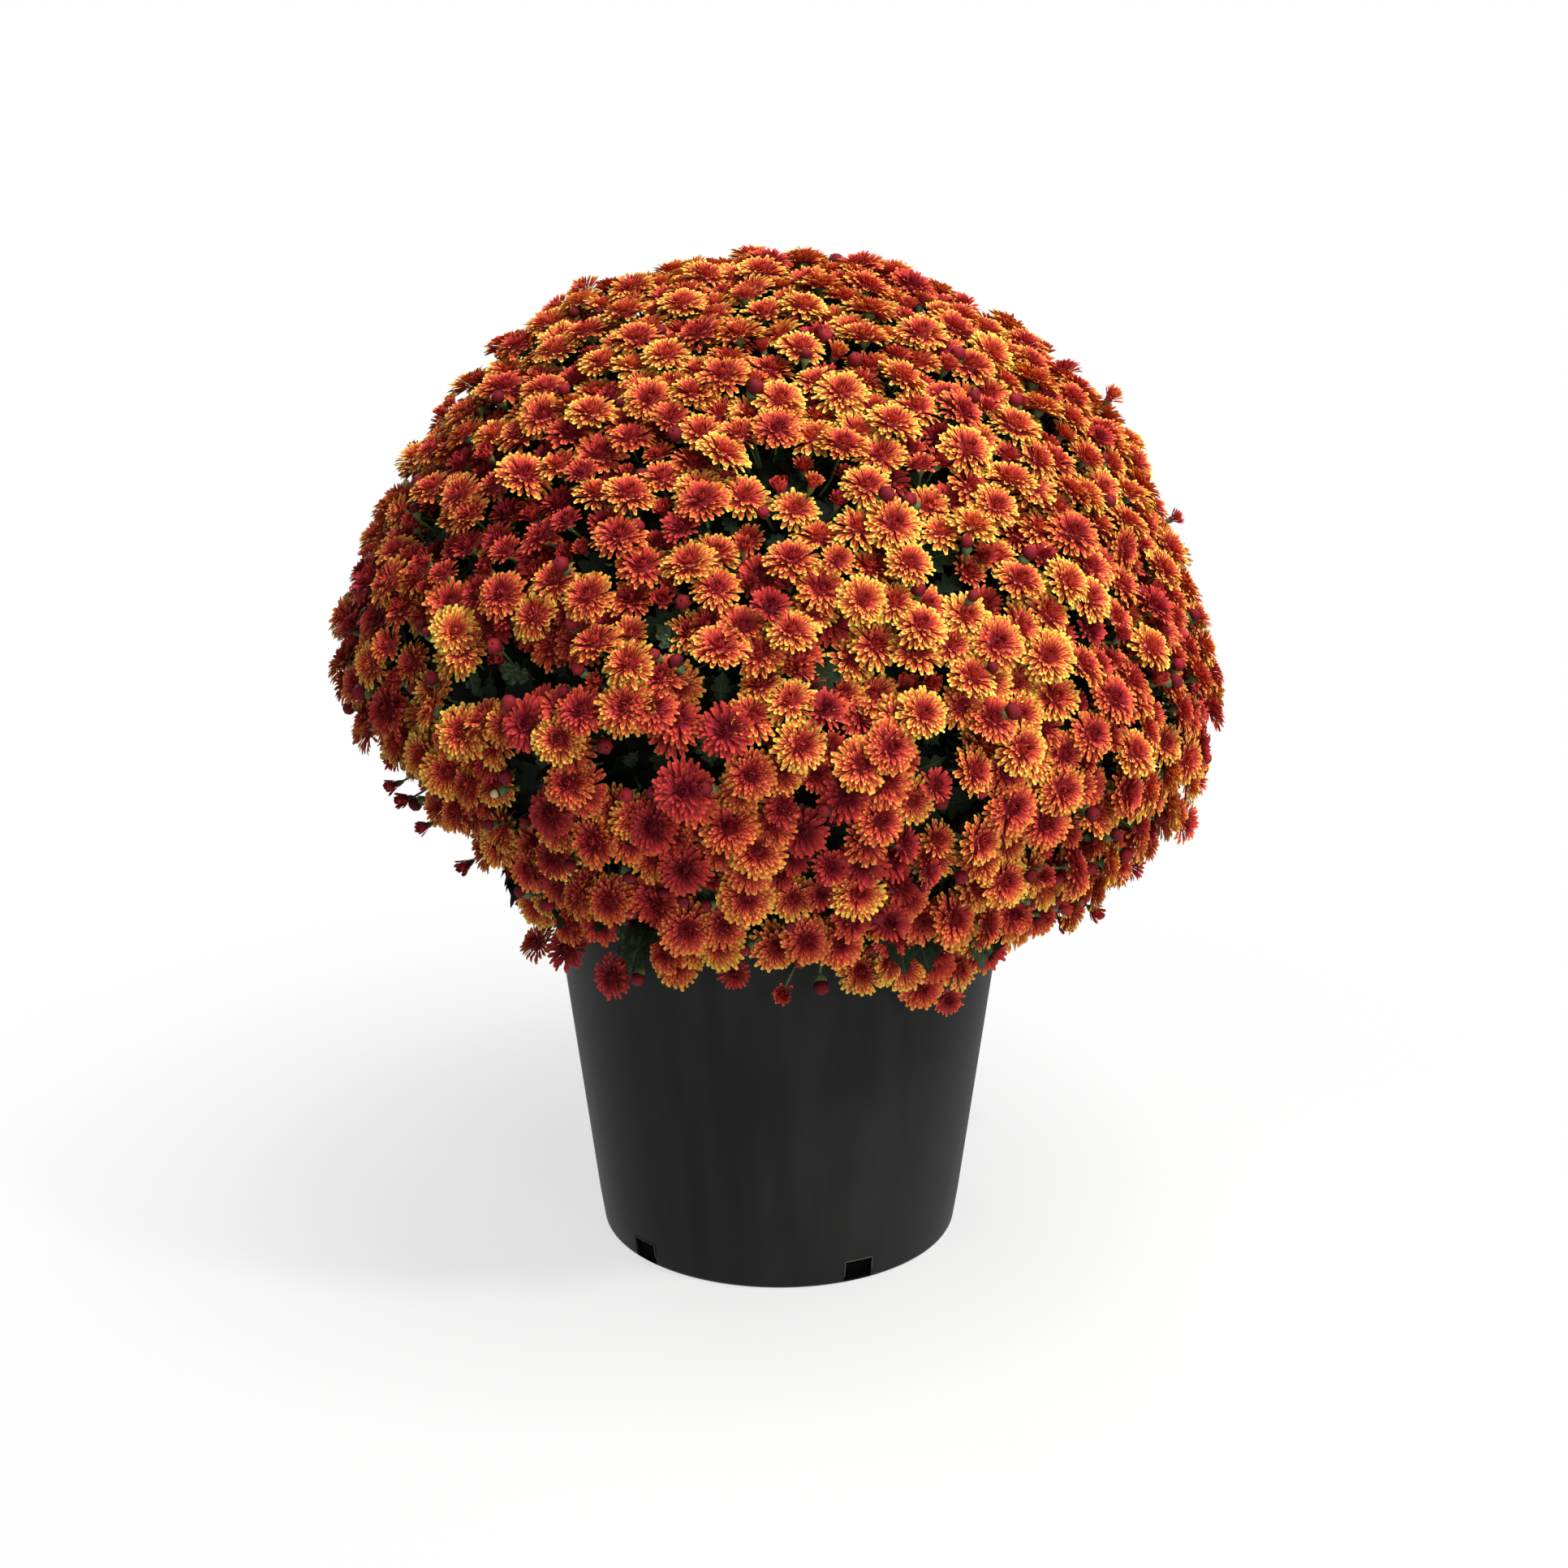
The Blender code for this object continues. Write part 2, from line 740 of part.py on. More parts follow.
def leaf(base, along, outward, length):
    """A lobed leaf, thick along its middle and thin at its edge, drooping towards its tip."""
    along = along.normalized()
    outward = (outward - along * outward.dot(along)).normalized()
    across = along.cross(outward)
    half = [(0.17, 0.05), (0.34, 0.29), (0.46, 0.16), (0.64, 0.33), (0.8, 0.13)]
    outline = [(0, 0)] + half + [(1, 0)] + [(x, -y) for x, y in reversed(half)]
    verts = []
    for x, y in outline:
        droop = -0.16 * x * x + 0.35 * abs(y) * (1 - x)
        verts.append(base + along * length * x + across * length * y + outward * length * droop)
    centre = base + along * length * 0.5 - outward * length * 0.02
    top = len(verts)
    verts.append(centre + outward * LEAF_HALF_THICKNESS)
    bottom = len(verts)
    verts.append(centre - outward * LEAF_HALF_THICKNESS)
    faces = []
    for k in range(top):
        j = (k + 1) % top
        faces.append((top, k, j))
        faces.append((bottom, j, k))
    return verts, faces


def curve(start, bend, end, pieces):
    points = []
    for k in range(pieces + 1):
        t = k / pieces
        points.append(start * (1 - t) ** 2 + bend * 2 * t * (1 - t) + end * t * t)
    return points


def is_clear(verts, faces, trees):
    own = BVHTree.FromPolygons(verts, faces)
    return not any(own.overlap(tree) for tree in trees)


def leafy_end(tip, out, count, length, start_lift, trees):
    """Leaves round the end of a shoot, each lifted or turned until it is clear of the heads."""
    start = UP if abs(out.z) < 0.9 else Vector((1, 0, 0))
    side = start.cross(out).normalized()
    other = out.cross(side)
    base = tip - out * 1.6 * MM
    pieces = []
    taken = []
    for k in range(count):
        for attempt in range(48):
            angle = 2 * math.pi * k / count + 0.16 * (attempt % 8) - 0.5
            if any(abs(math.remainder(angle - other_angle, 2 * math.pi)) < 1.35 for other_angle in taken):
                continue
            lift = start_lift + 0.15 * (attempt // 8)
            flat = side * math.cos(angle) + other * math.sin(angle)
            along = flat * math.cos(lift) + out * math.sin(lift)
            if is_clear(*leaf(base, along, out, length * 1.06), trees):
                pieces.append(leaf(base, along, out, length))
                taken.append(angle)
                break
    return pieces


def make_branches(cells, gaps, sprays, pot):
    """Each branch stands in the soil, forks, and reaches its sprays and leafy shoots."""
    trees = []
    for item in sprays + [pot]:
        verts = [v.co for v in item.data.vertices]
        faces = [tuple(p.vertices) for p in item.data.polygons]
        trees.append(BVHTree.FromPolygons(verts, faces))
    ends = [[] for _ in range(BRANCH_COUNT)]
    for cell in cells:
        goal = to_world(on_dome(cell.direction(cell.hub), CORE_DEPTH + CORE_THICKNESS + ARM_TIP_GAP))
        ends[nearest_branch(goal)].append(("arm", goal, goal))
    for gap in gaps:
        tip = to_world(on_dome(gap, CORE_DEPTH - 5 * MM))
        under = to_world(on_dome(gap, CORE_DEPTH + 24 * MM))
        ends[nearest_branch(tip)].append(("shoot", tip, under))
    branches = []
    for i in range(BRANCH_COUNT):
        name = "branch_%d" % (i + 1)
        pieces = branch_pieces(i, ends[i], trees)
        items = [make_object(name, *piece) for piece in pieces]
        branch = items[0]
        combine(branch, items[1:], "UNION")
        paint(branch, LEAF_GREEN, 0.75)
        branches.append(branch)
        trees.append(tree_of(branch))
    return branches


def tree_of(item):
    verts = [v.co for v in item.data.vertices]
    faces = [tuple(p.vertices) for p in item.data.polygons]
    return BVHTree.FromPolygons(verts, faces)


def nearest_branch(point):
    angle = math.atan2(point.y, point.x)
    gaps = [abs(math.remainder(angle - branch_angle(i), 2 * math.pi)) for i in range(BRANCH_COUNT)]
    return gaps.index(min(gaps))


def branch_pieces(i, ends, trees):
    angle = branch_angle(i)
    out = Vector((math.cos(angle), math.sin(angle), 0))
    foot = branch_foot(i)
    collar = Vector((foot.x, foot.y, SOIL_TOP + 12 * MM))
    fork = out * FORK_RING + UP * FORK_Z
    path = [foot, collar, fork, fork + (out * 0.4 + UP).normalized() * 9 * MM]
    radii = [BRANCH_RADIUS, BRANCH_RADIUS, ARM_RADIUS * 1.3, ARM_RADIUS * 0.8]
    pieces = [tube(path, radii, HOLE_SIDES)]
    for kind, tip, under in ends:
        if kind == "arm":
            bend = fork * 0.55 + tip * 0.45 + UP * 12 * MM
            path = curve(fork, bend, tip, 3)
            radii = [ARM_RADIUS, ARM_RADIUS * 0.8, ARM_RADIUS * 0.6, ARM_TIP_RADIUS]
            pieces.append(tube(path, radii, ARM_SIDES))
        else:
            path = [fork, fork * 0.5 + under * 0.5 + UP * 6 * MM, under, tip]
            pieces.append(tube(path, [SHOOT_RADIUS * 1.2, SHOOT_RADIUS, SHOOT_RADIUS, SHOOT_KNOB], 4))
            facing = (tip - under).normalized()
            pieces.extend(leafy_end(tip, facing, LEAVES_PER_SHOOT, LEAF_LENGTH * 0.82, 0.1, trees))
    for k in range(SKIRT_LEAVES):
        turn = angle + (k - (SKIRT_LEAVES - 1) / 2) * 0.42
        ray = Vector((math.cos(turn), math.sin(turn), 0))
        tip = ray * 157 * MM + UP * 250 * MM
        path = curve(fork, fork * 0.4 + tip * 0.6 + UP * 14 * MM, tip, 2)
        pieces.append(tube(path, [SHOOT_RADIUS * 1.2, SHOOT_RADIUS, SHOOT_KNOB], 4))
        pieces.extend(skirt_leaf(tip, ray, trees))
    return pieces


def skirt_leaf(tip, ray, trees):
    """One leaf that hangs out between the pot's rim and the lowest heads."""
    for attempt in range(30):
        drop = 0.55 + 0.1 * (attempt % 6)
        sway = 0.22 * ((attempt // 6) - 2)
        across = UP.cross(ray)
        along = (ray + across * sway - UP * drop).normalized()
        outward = (ray * 0.5 + UP).normalized()
        base = tip - ray * 1.5 * MM
        if is_clear(*leaf(base, along, outward, LEAF_LENGTH * 1.06), trees):
            return [leaf(base, along, outward, LEAF_LENGTH)]
    return []


def main():
    clear_scene()
    rng = random.Random(20)
    pot = make_pot()
    make_soil()
    cells, centres, gaps = plan_sprays(rng)
    fill_sprays(cells, centres, gaps, rng)
    sprays = make_sprays(cells)
    make_branches(cells, gaps, sprays, pot)
    total = 0
    for item in bpy.data.objects:
        item.data.calc_loop_triangles()
        count = len(item.data.loop_triangles)
        total += count
        print(item.name, count)
    print("triangles:", total)


main()
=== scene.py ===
"""Looks of the potted chrysanthemum: fine heads, buds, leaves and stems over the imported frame."""
import math
from collections import namedtuple

import bmesh
import bpy
import numpy as np
from mathutils import Matrix, Vector


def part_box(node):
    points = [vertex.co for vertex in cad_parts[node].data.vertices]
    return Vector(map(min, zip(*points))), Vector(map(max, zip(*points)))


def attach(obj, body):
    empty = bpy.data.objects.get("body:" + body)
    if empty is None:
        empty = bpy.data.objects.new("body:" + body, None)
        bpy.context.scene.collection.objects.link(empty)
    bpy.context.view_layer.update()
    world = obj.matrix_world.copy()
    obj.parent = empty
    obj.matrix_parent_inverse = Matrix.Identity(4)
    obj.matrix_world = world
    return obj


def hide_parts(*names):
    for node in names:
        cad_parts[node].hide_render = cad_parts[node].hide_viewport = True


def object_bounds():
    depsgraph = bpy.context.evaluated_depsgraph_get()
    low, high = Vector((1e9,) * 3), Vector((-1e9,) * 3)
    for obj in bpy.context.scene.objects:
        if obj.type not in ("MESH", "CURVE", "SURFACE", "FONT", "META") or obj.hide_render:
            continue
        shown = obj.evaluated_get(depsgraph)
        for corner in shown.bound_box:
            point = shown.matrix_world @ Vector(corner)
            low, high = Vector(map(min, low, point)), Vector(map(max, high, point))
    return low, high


# Sizes are in metres, apart from those that a comment gives in mm or degrees.
MM = 0.001
FULL_TURN = 2 * math.pi
UP = np.array([0.0, 0.0, 1.0])
SEED = 7

# The dome that the heads lie on, as in the part, with more lumps than there: azimuth and elevation
# in degrees, then height in mm.
DOME_CENTRE = np.array([0, 0, 0.370])
DOME_HALF_WIDTH = 0.257
DOME_HALF_HEIGHT = 0.225
DOME_POWER = 1.72
DOME_AREA = 0.62
DOME_LEAN = math.radians(5.2)
LEAN = np.array(Matrix.Rotation(DOME_LEAN, 3, "Y"))
LUMP_WIDTH = math.radians(17)
LUMPS = [
    (180, -32, -44), (-150, -34, -14), (180, -14, 22), (180, 3, -11), (180, 20, -3), (180, 36, 4),
    (180, 54, 7), (0, -32, 8), (0, -14, 10), (0, 20, -10), (0, 38, 6), (0, 55, 4),
    (-60, 38, 5), (-115, -6, 4), (60, 12, 6), (100, -18, -6), (135, 34, -5), (120, 5, 5),
]

# The pot, its soil and the main stems, as in the part apart from the drain windows' size.
POT_BASE_RADIUS = 110 * MM
POT_TAPER = 0.126
POT_HEIGHT = 245 * MM
POT_WALL = 2 * MM
POT_FLOOR = 2.6 * MM
RIM_DEPTH = 13 * MM
RIM_STEP = 4 * MM
WINDOW_COUNT = 5
WINDOW_FIRST = math.radians(25.2)
WINDOW_WIDTH = 18 * MM
WINDOW_HEIGHT = 15.5 * MM
WINDOW_SILL = 1.2 * MM
WINDOW_INNER_RADIUS = 98 * MM
SOIL_TOP = 220 * MM
SOIL_CROWN = 5 * MM
BRANCH_COUNT = 6
BRANCH_RING = 28 * MM
FORK_RING = 50 * MM
FORK_Z = 272 * MM

# Heads on three mixed levels, and deep ones below them where room is left.
HEAD_COUNT = 1660
HEADS_LOWEST = math.radians(-37)
HEAD_TRIES = 5
HEAD_PASSES = 5
LEVELS = 3
LEVEL_STEP = 5.6 * MM
LEVEL_REACH = 31 * MM
LEVEL_CHANCE = 200
DEPTH_SPREAD = (-1, 1.5)
# Towards the top the levels draw together by this share.
TOP_CLOSER = 0.4
DEEP_COUNT = 240
DEEP_LOWEST = math.radians(4)
DEEP_TRIES = 8
HEAD_RISE = 9 * MM
HEAD_BASE = -4.5 * MM
UPWARD_SHARE = 0.32
FACING_SPREAD = 0.16
LOWEST_FACING = math.sin(math.radians(7))
# How many of its radii the middle of a head or bud keeps from the sides of the solids' box.
BOX_SPARE = 1.1

# How yellow the heads are, from 0 to 7: a middle tone with soft patches, raised towards the top as
# painted light and lowered lower down as painted shade, and lowered for the deep heads as painted shade.
MIDDLE_TONE = 3.2
PATCH_TONE = 0.28
PATCHES = 5
PATCH_PITCH = 26
TONE_SPREAD = 1.25
PAINTED_LIGHT_BY_HEIGHT = 0.8
PAINTED_LIGHT_FROM = 0.48
PAINTED_LIGHT_OVER = 0.1
DEEP_PAINTED_SHADE = -1.2

# Buds between the heads, with their depths and radii in mm.
BUD_COUNT = 280
BUD_TRIES = 14
BUD_DEPTHS = (-2, 9)
BUD_RADII = (2.9, 4.9)
BUD_UPWARD_SHARE = 0.3
BUD_FACING_SPREAD = 0.25
CREAM_BUD_SHARE = 0.05
CREAM_BUD_SIZE = 0.62

# The camera of the photograph. Its picture is 1932 by 1932.
CAMERA_SIDE = 3 * MM
CAMERA_DISTANCE = 1.6404
CAMERA_RISE = math.radians(25.942)
CAMERA_TILT = math.radians(73.48)
CAMERA_FOCUS = 3146.2
PICTURE_MIDDLE = 966

# Dark gaps between heads: where in the photograph, and the radius in mm.
GAPS = [
    (610, 830, 24), (670, 820, 20), (760, 950, 24), (870, 940, 18), (720, 695, 14), (880, 850, 16),
    (900, 630, 14), (960, 650, 14), (820, 785, 15), (510, 800, 20), (515, 650, 18), (630, 1030, 19),
    (740, 1085, 22), (775, 1150, 22), (860, 1130, 17), (640, 950, 20), (940, 560, 14), (1030, 780, 14),
    (1040, 820, 16), (1110, 840, 14), (970, 460, 13), (1110, 590, 13), (1170, 920, 16), (1200, 1000, 18),
    (1180, 710, 13), (1270, 660, 12), (1330, 690, 12), (1170, 1110, 17), (1320, 1020, 14), (940, 1150, 18),
]
# How many random gaps are tried for the shady lower left and for the back, and their radii in mm.
SHADY_TRIES = 170
BACK_TRIES = 55
GAP_RADII = (11, 18)
# They are kept where their direction is so far left, forward and low, or so far back.
SHADY_LIMITS = (-0.2, -0.25, 0.15)
BACK_LIMIT = 0.1
# Heads nearer to a gap's middle than this share of its radius are left out.
GAP_HEART = 0.55

# Heads that stray out of the dome: where in the photograph, the kind of head, how far behind the
# middle of the pot in mm, and the facing.
STRAY_HEADS = [
    (648, 1103, 2, 10, (-0.8, -0.5, 0.1)), (664, 1162, 1, -10, (-0.6, -0.5, 0.6)),
    (700, 1168, 1, -84, (-0.4, -0.7, 0.4)), (757, 1203, 1, -116, (-0.5, -0.7, 0.2)),
    (452, 902, 1, 20, (-0.85, -0.45, 0.1)), (1456, 1012, 1, 0, (0.8, -0.6, 0.1)),
    (1472, 962, 2, 0, (0.8, -0.4, 0.2)), (1366, 492, 3, 0, (0.5, -0.4, 0.7)),
    (1443, 640, 3, 0, (0.8, -0.3, 0.5)), (432, 742, 2, 10, (-0.8, -0.3, 0.5)),
    (1098, 338, 2, 20, (0.2, -0.4, 0.9)), (722, 360, 2, 20, (-0.4, -0.4, 0.8)),
    (965, 1222, 3, -150, (-0.1, -1.0, 0.0)), (1134, 1214, 1, -126, (0.2, -0.9, 0.1)),
    (1166, 1230, 2, -112, (0.3, -0.9, 0.0)), (1241, 1140, 0, -62, (0.5, -0.8, 0.3)),
    (1390, 1065, 2, -20, (0.6, -0.6, 0.1)), (515, 560, 3, 20, (-0.7, -0.3, 0.6)),
    (1178, 1192, 1, -112, (0.5, -0.8, 0.2)), (1207, 1172, 1, -96, (0.6, -0.7, 0.2)),
    (1146, 1180, 0, -126, (0.2, -0.9, 0.3)), (1112, 1190, 1, -136, (0.1, -0.9, 0.2)),
    (1060, 1196, 1, -146, (0.0, -0.9, 0.3)), (905, 1198, 2, -152, (-0.1, -0.9, 0.2)),
    (836, 1188, 1, -142, (-0.2, -0.9, 0.3)), (577, 1064, 4, 10, (-0.6, -0.7, -0.2)),
    (526, 1017, 4, 10, (-0.7, -0.6, -0.2)), (488, 966, 4, 10, (-0.8, -0.5, -0.2)),
    (1346, 1121, 4, -20, (0.5, -0.8, -0.2)), (1309, 1135, 4, -30, (0.4, -0.9, -0.1)),
    (1288, 1100, 4, -40, (0.4, -0.8, 0.1)), (502, 984, 4, 10, (-0.7, -0.6, 0.0)),
]
# Stray buds: where in the photograph, how far behind the middle and the radius in mm.
STRAY_BUDS = [
    (512, 990, 10, 4.6), (424, 872, 20, 4.4), (1012, 1216, -150, 4.8), (1502, 856, 0, 4.4),
    (786, 1206, -132, 4.4), (1480, 946, 0, 4.8), (690, 1130, -82, 5.0), (1030, 322, 20, 4.8),
]

# Petal layers of a head of the nominal radius in mm, from the outside in: how many petals, then in
# mm the base radius, base height, length and width, then the rise in degrees at base and tip.
NOMINAL_RADIUS = 16.5
FULL = [
    (26, 3.0, 0.0, 13.7, 3.2, 14, -4),
    (25, 3.0, 0.8, 12.5, 2.9, 26, 4),
    (21, 2.8, 1.7, 10.8, 2.4, 38, 16),
    (17, 2.6, 2.4, 8.8, 2.2, 50, 34),
    (14, 2.4, 2.9, 6.6, 2.0, 60, 80),
    (11, 1.8, 3.1, 5.2, 1.9, 72, 112),
    (7, 0.7, 3.2, 4.4, 1.9, 82, 124),
]
PARTLY_HIDDEN = [
    (22, 3.0, 0.0, 13.7, 3.3, 16, -6),
    (20, 3.0, 1.0, 12.2, 3.0, 30, 6),
    (16, 2.8, 2.0, 10.0, 2.7, 44, 22),
    (12, 2.6, 2.7, 7.6, 2.4, 58, 50),
    (10, 2.2, 3.1, 5.8, 2.2, 68, 96),
    (7, 1.2, 3.2, 4.8, 2.3, 78, 116),
]
YOUNG = [
    (19, 2.8, 0.0, 13.4, 2.9, 32, 12),
    (17, 2.8, 1.2, 11.8, 2.7, 46, 30),
    (14, 2.6, 2.2, 9.6, 2.5, 60, 56),
    (11, 2.2, 3.0, 7.6, 2.3, 72, 86),
    (8, 1.4, 3.4, 6.2, 2.4, 80, 108),
    (5, 0.5, 3.5, 5.4, 2.5, 86, 116),
]
HALF_OPEN = [
    (14, 2.6, 0.0, 13.6, 3.6, 56, 50),
    (12, 2.6, 1.0, 12.8, 3.4, 66, 68),
    (10, 2.2, 2.0, 11.6, 3.1, 76, 90),
    (7, 1.5, 2.8, 9.8, 3.0, 84, 110),
    (4, 0.5, 3.3, 8.6, 3.2, 86, 116),
]
TIGHT = [
    (13, 4.6, 0.0, 12.6, 5.2, 58, 84),
    (11, 4.0, 1.0, 12.2, 4.8, 70, 104),
    (8, 2.8, 2.0, 11.4, 4.6, 80, 122),
    (4, 1.0, 2.8, 11.0, 4.6, 86, 126),
]

# Kinds of head: the first layer of short petals, radii in mm, tone shift, share of the kind on the
# outermost level and on the others, and size of the heart.
Kind = namedtuple("Kind", "layers first_short smallest largest tone top_share lower_share heart")
KINDS = [
    Kind(FULL, 4, 13.9, 16.4, 0.5, 0.80, 0.0, 1.0),
    Kind(PARTLY_HIDDEN, 3, 13.2, 15.4, 0.3, 0.0, 0.58, 1.0),
    Kind(YOUNG, 2, 10.0, 12.6, -1.9, 0.13, 0.25, 0.8),
    Kind(HALF_OPEN, 2, 8.2, 10.2, -3.2, 0.07, 0.13, 0.6),
    Kind(TIGHT, 2, 8.4, 10.4, -4.2, 0.0, 0.04, 0.6),
]

# Colours are looked up on a chart. Petals use a cell for each layer and tone, less a margin at its
# sides and ends, and leaves a cell for each tint. Buds and hearts use the last column of the petals.
CHART = "OFBake"
PETAL_GRID = 8
LAST_CELL = PETAL_GRID - 1
CELL_SIDE = 0.08
CELL_END = 0.06
LEAF_GRID = 4


# Dome.


def unit(vectors):
    return vectors / np.maximum(np.linalg.norm(vectors, axis=-1, keepdims=True), 1e-12)


def pointing(azimuth, elevation):
    turn = math.radians(azimuth)
    rise = math.radians(elevation)
    return np.array([math.cos(turn) * math.cos(rise), math.sin(turn) * math.cos(rise), math.sin(rise)])


def dome_reach(directions):
    """Distance from the dome's centre to its surface along each direction."""
    flat = np.hypot(directions[:, 0], directions[:, 1]) / DOME_HALF_WIDTH
    tall = np.abs(directions[:, 2]) / DOME_HALF_HEIGHT
    reach = (flat ** DOME_POWER + tall ** DOME_POWER) ** (-1 / DOME_POWER)
    for azimuth, elevation, height in LUMPS:
        away = np.arccos(np.clip(directions @ pointing(azimuth, elevation), -1, 1)) / LUMP_WIDTH
        reach = reach + height * MM * np.exp(-away * away)
    return reach


def on_dome(directions):
    return directions * dome_reach(directions)[:, None]


def dome_normal(directions):
    points = on_dome(directions)
    flat = np.hypot(points[:, 0], points[:, 1])
    spread = (flat / DOME_HALF_WIDTH) ** (DOME_POWER - 1) / DOME_HALF_WIDTH
    rise = (np.abs(points[:, 2]) / DOME_HALF_HEIGHT) ** (DOME_POWER - 1) / DOME_HALF_HEIGHT
    out = points * np.array([1, 1, 0]) / np.maximum(flat, 1e-9)[:, None]
    return unit(out * spread[:, None] + UP * np.copysign(rise, points[:, 2])[:, None])


def turned_to_world(vectors):
    return vectors @ LEAN.T


def to_world(points):
    return turned_to_world(points) + DOME_CENTRE


def dome_direction(points):
    """Direction of world points from the dome's centre, in the upright dome."""
    return unit((points - DOME_CENTRE) @ LEAN)


def not_below(directions, lowest):
    flat = unit(directions * np.array([1, 1, 0]))
    held = flat * math.cos(lowest) + UP * math.sin(lowest)
    return np.where((directions[:, 2] >= math.sin(lowest))[:, None], directions, held)


def distances(points, others):
    return np.linalg.norm(points[:, None] - others[None], axis=2)


def keep_inside(points, spare, box):
    return np.clip(points, np.array(box[0]) + spare, np.array(box[1]) - spare)


def random_directions(rng, count, lowest):
    height = rng.uniform(math.sin(lowest), 1, count)
    angle = rng.uniform(0, FULL_TURN, count)
    flat = np.sqrt(1 - height * height)
    return np.stack([flat * np.cos(angle), flat * np.sin(angle), height], axis=1)


def far_directions(rng, count, lowest, tries, taken=None):
    """Directions drawn one by one, each the farthest of a few tries from the others and the taken."""
    used = 0 if taken is None else len(taken)
    points = np.zeros((count + used, 3))
    if used:
        points[:used] = taken
    chosen = []
    for _ in range(count):
        trial = random_directions(rng, tries, lowest)
        place = on_dome(trial)
        if used:
            room = distances(place, points[:used]).min(axis=1)
        else:
            room = np.ones(tries)
        best = int(room.argmax())
        chosen.append(trial[best])
        points[used] = place[best]
        used += 1
    return np.array(chosen)


def push_apart(directions, lowest, passes):
    """Push near neighbours on the dome apart a little, towards an even pitch."""
    row_share = 1.1547
    reach = 1.25 * math.sqrt(DOME_AREA / len(directions) * row_share)
    for _ in range(passes):
        points = on_dome(directions)
        away = points[:, None] - points[None]
        gap = np.linalg.norm(away, axis=2)
        near = (gap < reach) & (gap > 0)
        weight = np.where(near, (reach - gap) * 0.2 / np.maximum(gap, 1e-6), 0)
        directions = not_below(unit(points + (away * weight[:, :, None]).sum(axis=1)), lowest)
    return directions


def choose_levels(points, rng):
    """A level for each head that differs from those of its near neighbours."""
    gap = distances(points, points)
    levels = np.full(len(points), -1)
    for i in rng.permutation(len(points)):
        near = (gap[i] < LEVEL_REACH) & (levels >= 0)
        crowd = np.zeros(LEVELS)
        np.add.at(crowd, levels[near], 1 / np.maximum(gap[i][near], 1e-4) ** 2)
        levels[i] = int((crowd + rng.uniform(0, LEVEL_CHANCE, LEVELS)).argmin())
    return levels


# Places in the photograph.


def camera_place():
    back = CAMERA_DISTANCE * math.cos(CAMERA_RISE)
    return np.array([CAMERA_SIDE, -back, CAMERA_DISTANCE * math.sin(CAMERA_RISE)])


def picture_rays(spots):
    """Unit directions from the camera through places in the photograph."""
    spots = np.asarray(spots, dtype=float)
    turn = np.array(Matrix.Rotation(CAMERA_TILT, 3, "X"))
    right = (spots[:, 0] - PICTURE_MIDDLE) / CAMERA_FOCUS
    up = (PICTURE_MIDDLE - spots[:, 1]) / CAMERA_FOCUS
    return unit(np.stack([right, up, -np.ones(len(spots))], axis=1) @ turn.T)


def seen_on_dome(spots):
    """Directions of the dome's places that show at those places in the photograph, and which do."""
    rays = picture_rays(spots)
    search = 0.5
    near = np.full(len(rays), CAMERA_DISTANCE - search)
    found = np.zeros(len(rays), dtype=bool)
    for _ in range(round(search / MM)):
        points = camera_place() + rays * near[:, None]
        inside = np.linalg.norm(points - DOME_CENTRE, axis=1) < dome_reach(dome_direction(points))
        found |= inside
        near = np.where(found, near, near + MM)
    return dome_direction(camera_place() + rays * near[:, None])[found], found


def seen_behind(right, down, behind):
    """World points at those places in the photograph, so far in mm behind the middle of the pot."""
    rays = picture_rays(np.stack([right, down], axis=1))
    reach = (np.array(behind) * MM - camera_place()[1]) / rays[:, 1]
    return camera_place() + rays * reach[:, None]


def plan_gaps(rng):
    """Directions and radii of the dark gaps: the seen ones, more at the lower left, and the back's."""
    seen, found = seen_on_dome([gap[:2] for gap in GAPS])
    radii = np.array([gap[2] * MM for gap in GAPS])[found]
    shady = random_directions(rng, SHADY_TRIES, HEADS_LOWEST)
    shady = shady[(shady < SHADY_LIMITS).all(axis=1)]
    back = random_directions(rng, BACK_TRIES, HEADS_LOWEST)
    back = back[back[:, 1] > BACK_LIMIT]
    more = rng.uniform(*GAP_RADII, len(shady) + len(back)) * MM
    return np.concatenate([seen, shady, back]), np.concatenate([radii, more])


def open_gaps(directions, gaps, radii):
    """Move heads away from the dark gaps, and drop the ones in their middles."""
    points = on_dome(directions)
    keep = np.ones(len(points), dtype=bool)
    for middle, radius in zip(on_dome(gaps), radii):
        away = points - middle
        gap = np.linalg.norm(away, axis=1)
        keep &= gap > GAP_HEART * radius
        wanted = radius + gap * (GAP_HEART / (1 + GAP_HEART))
        push = (gap < (1 + GAP_HEART) * radius) & (wanted > gap)
        moved = middle + away * (wanted / np.maximum(gap, 1e-6))[:, None]
        points = np.where(push[:, None], moved, points)
    return unit(points[keep])


# Building blocks.


def add_object(name, mesh, material):
    mesh.materials.append(material)
    item = bpy.data.objects.new(name, mesh)
    bpy.context.scene.collection.objects.link(item)
    return item


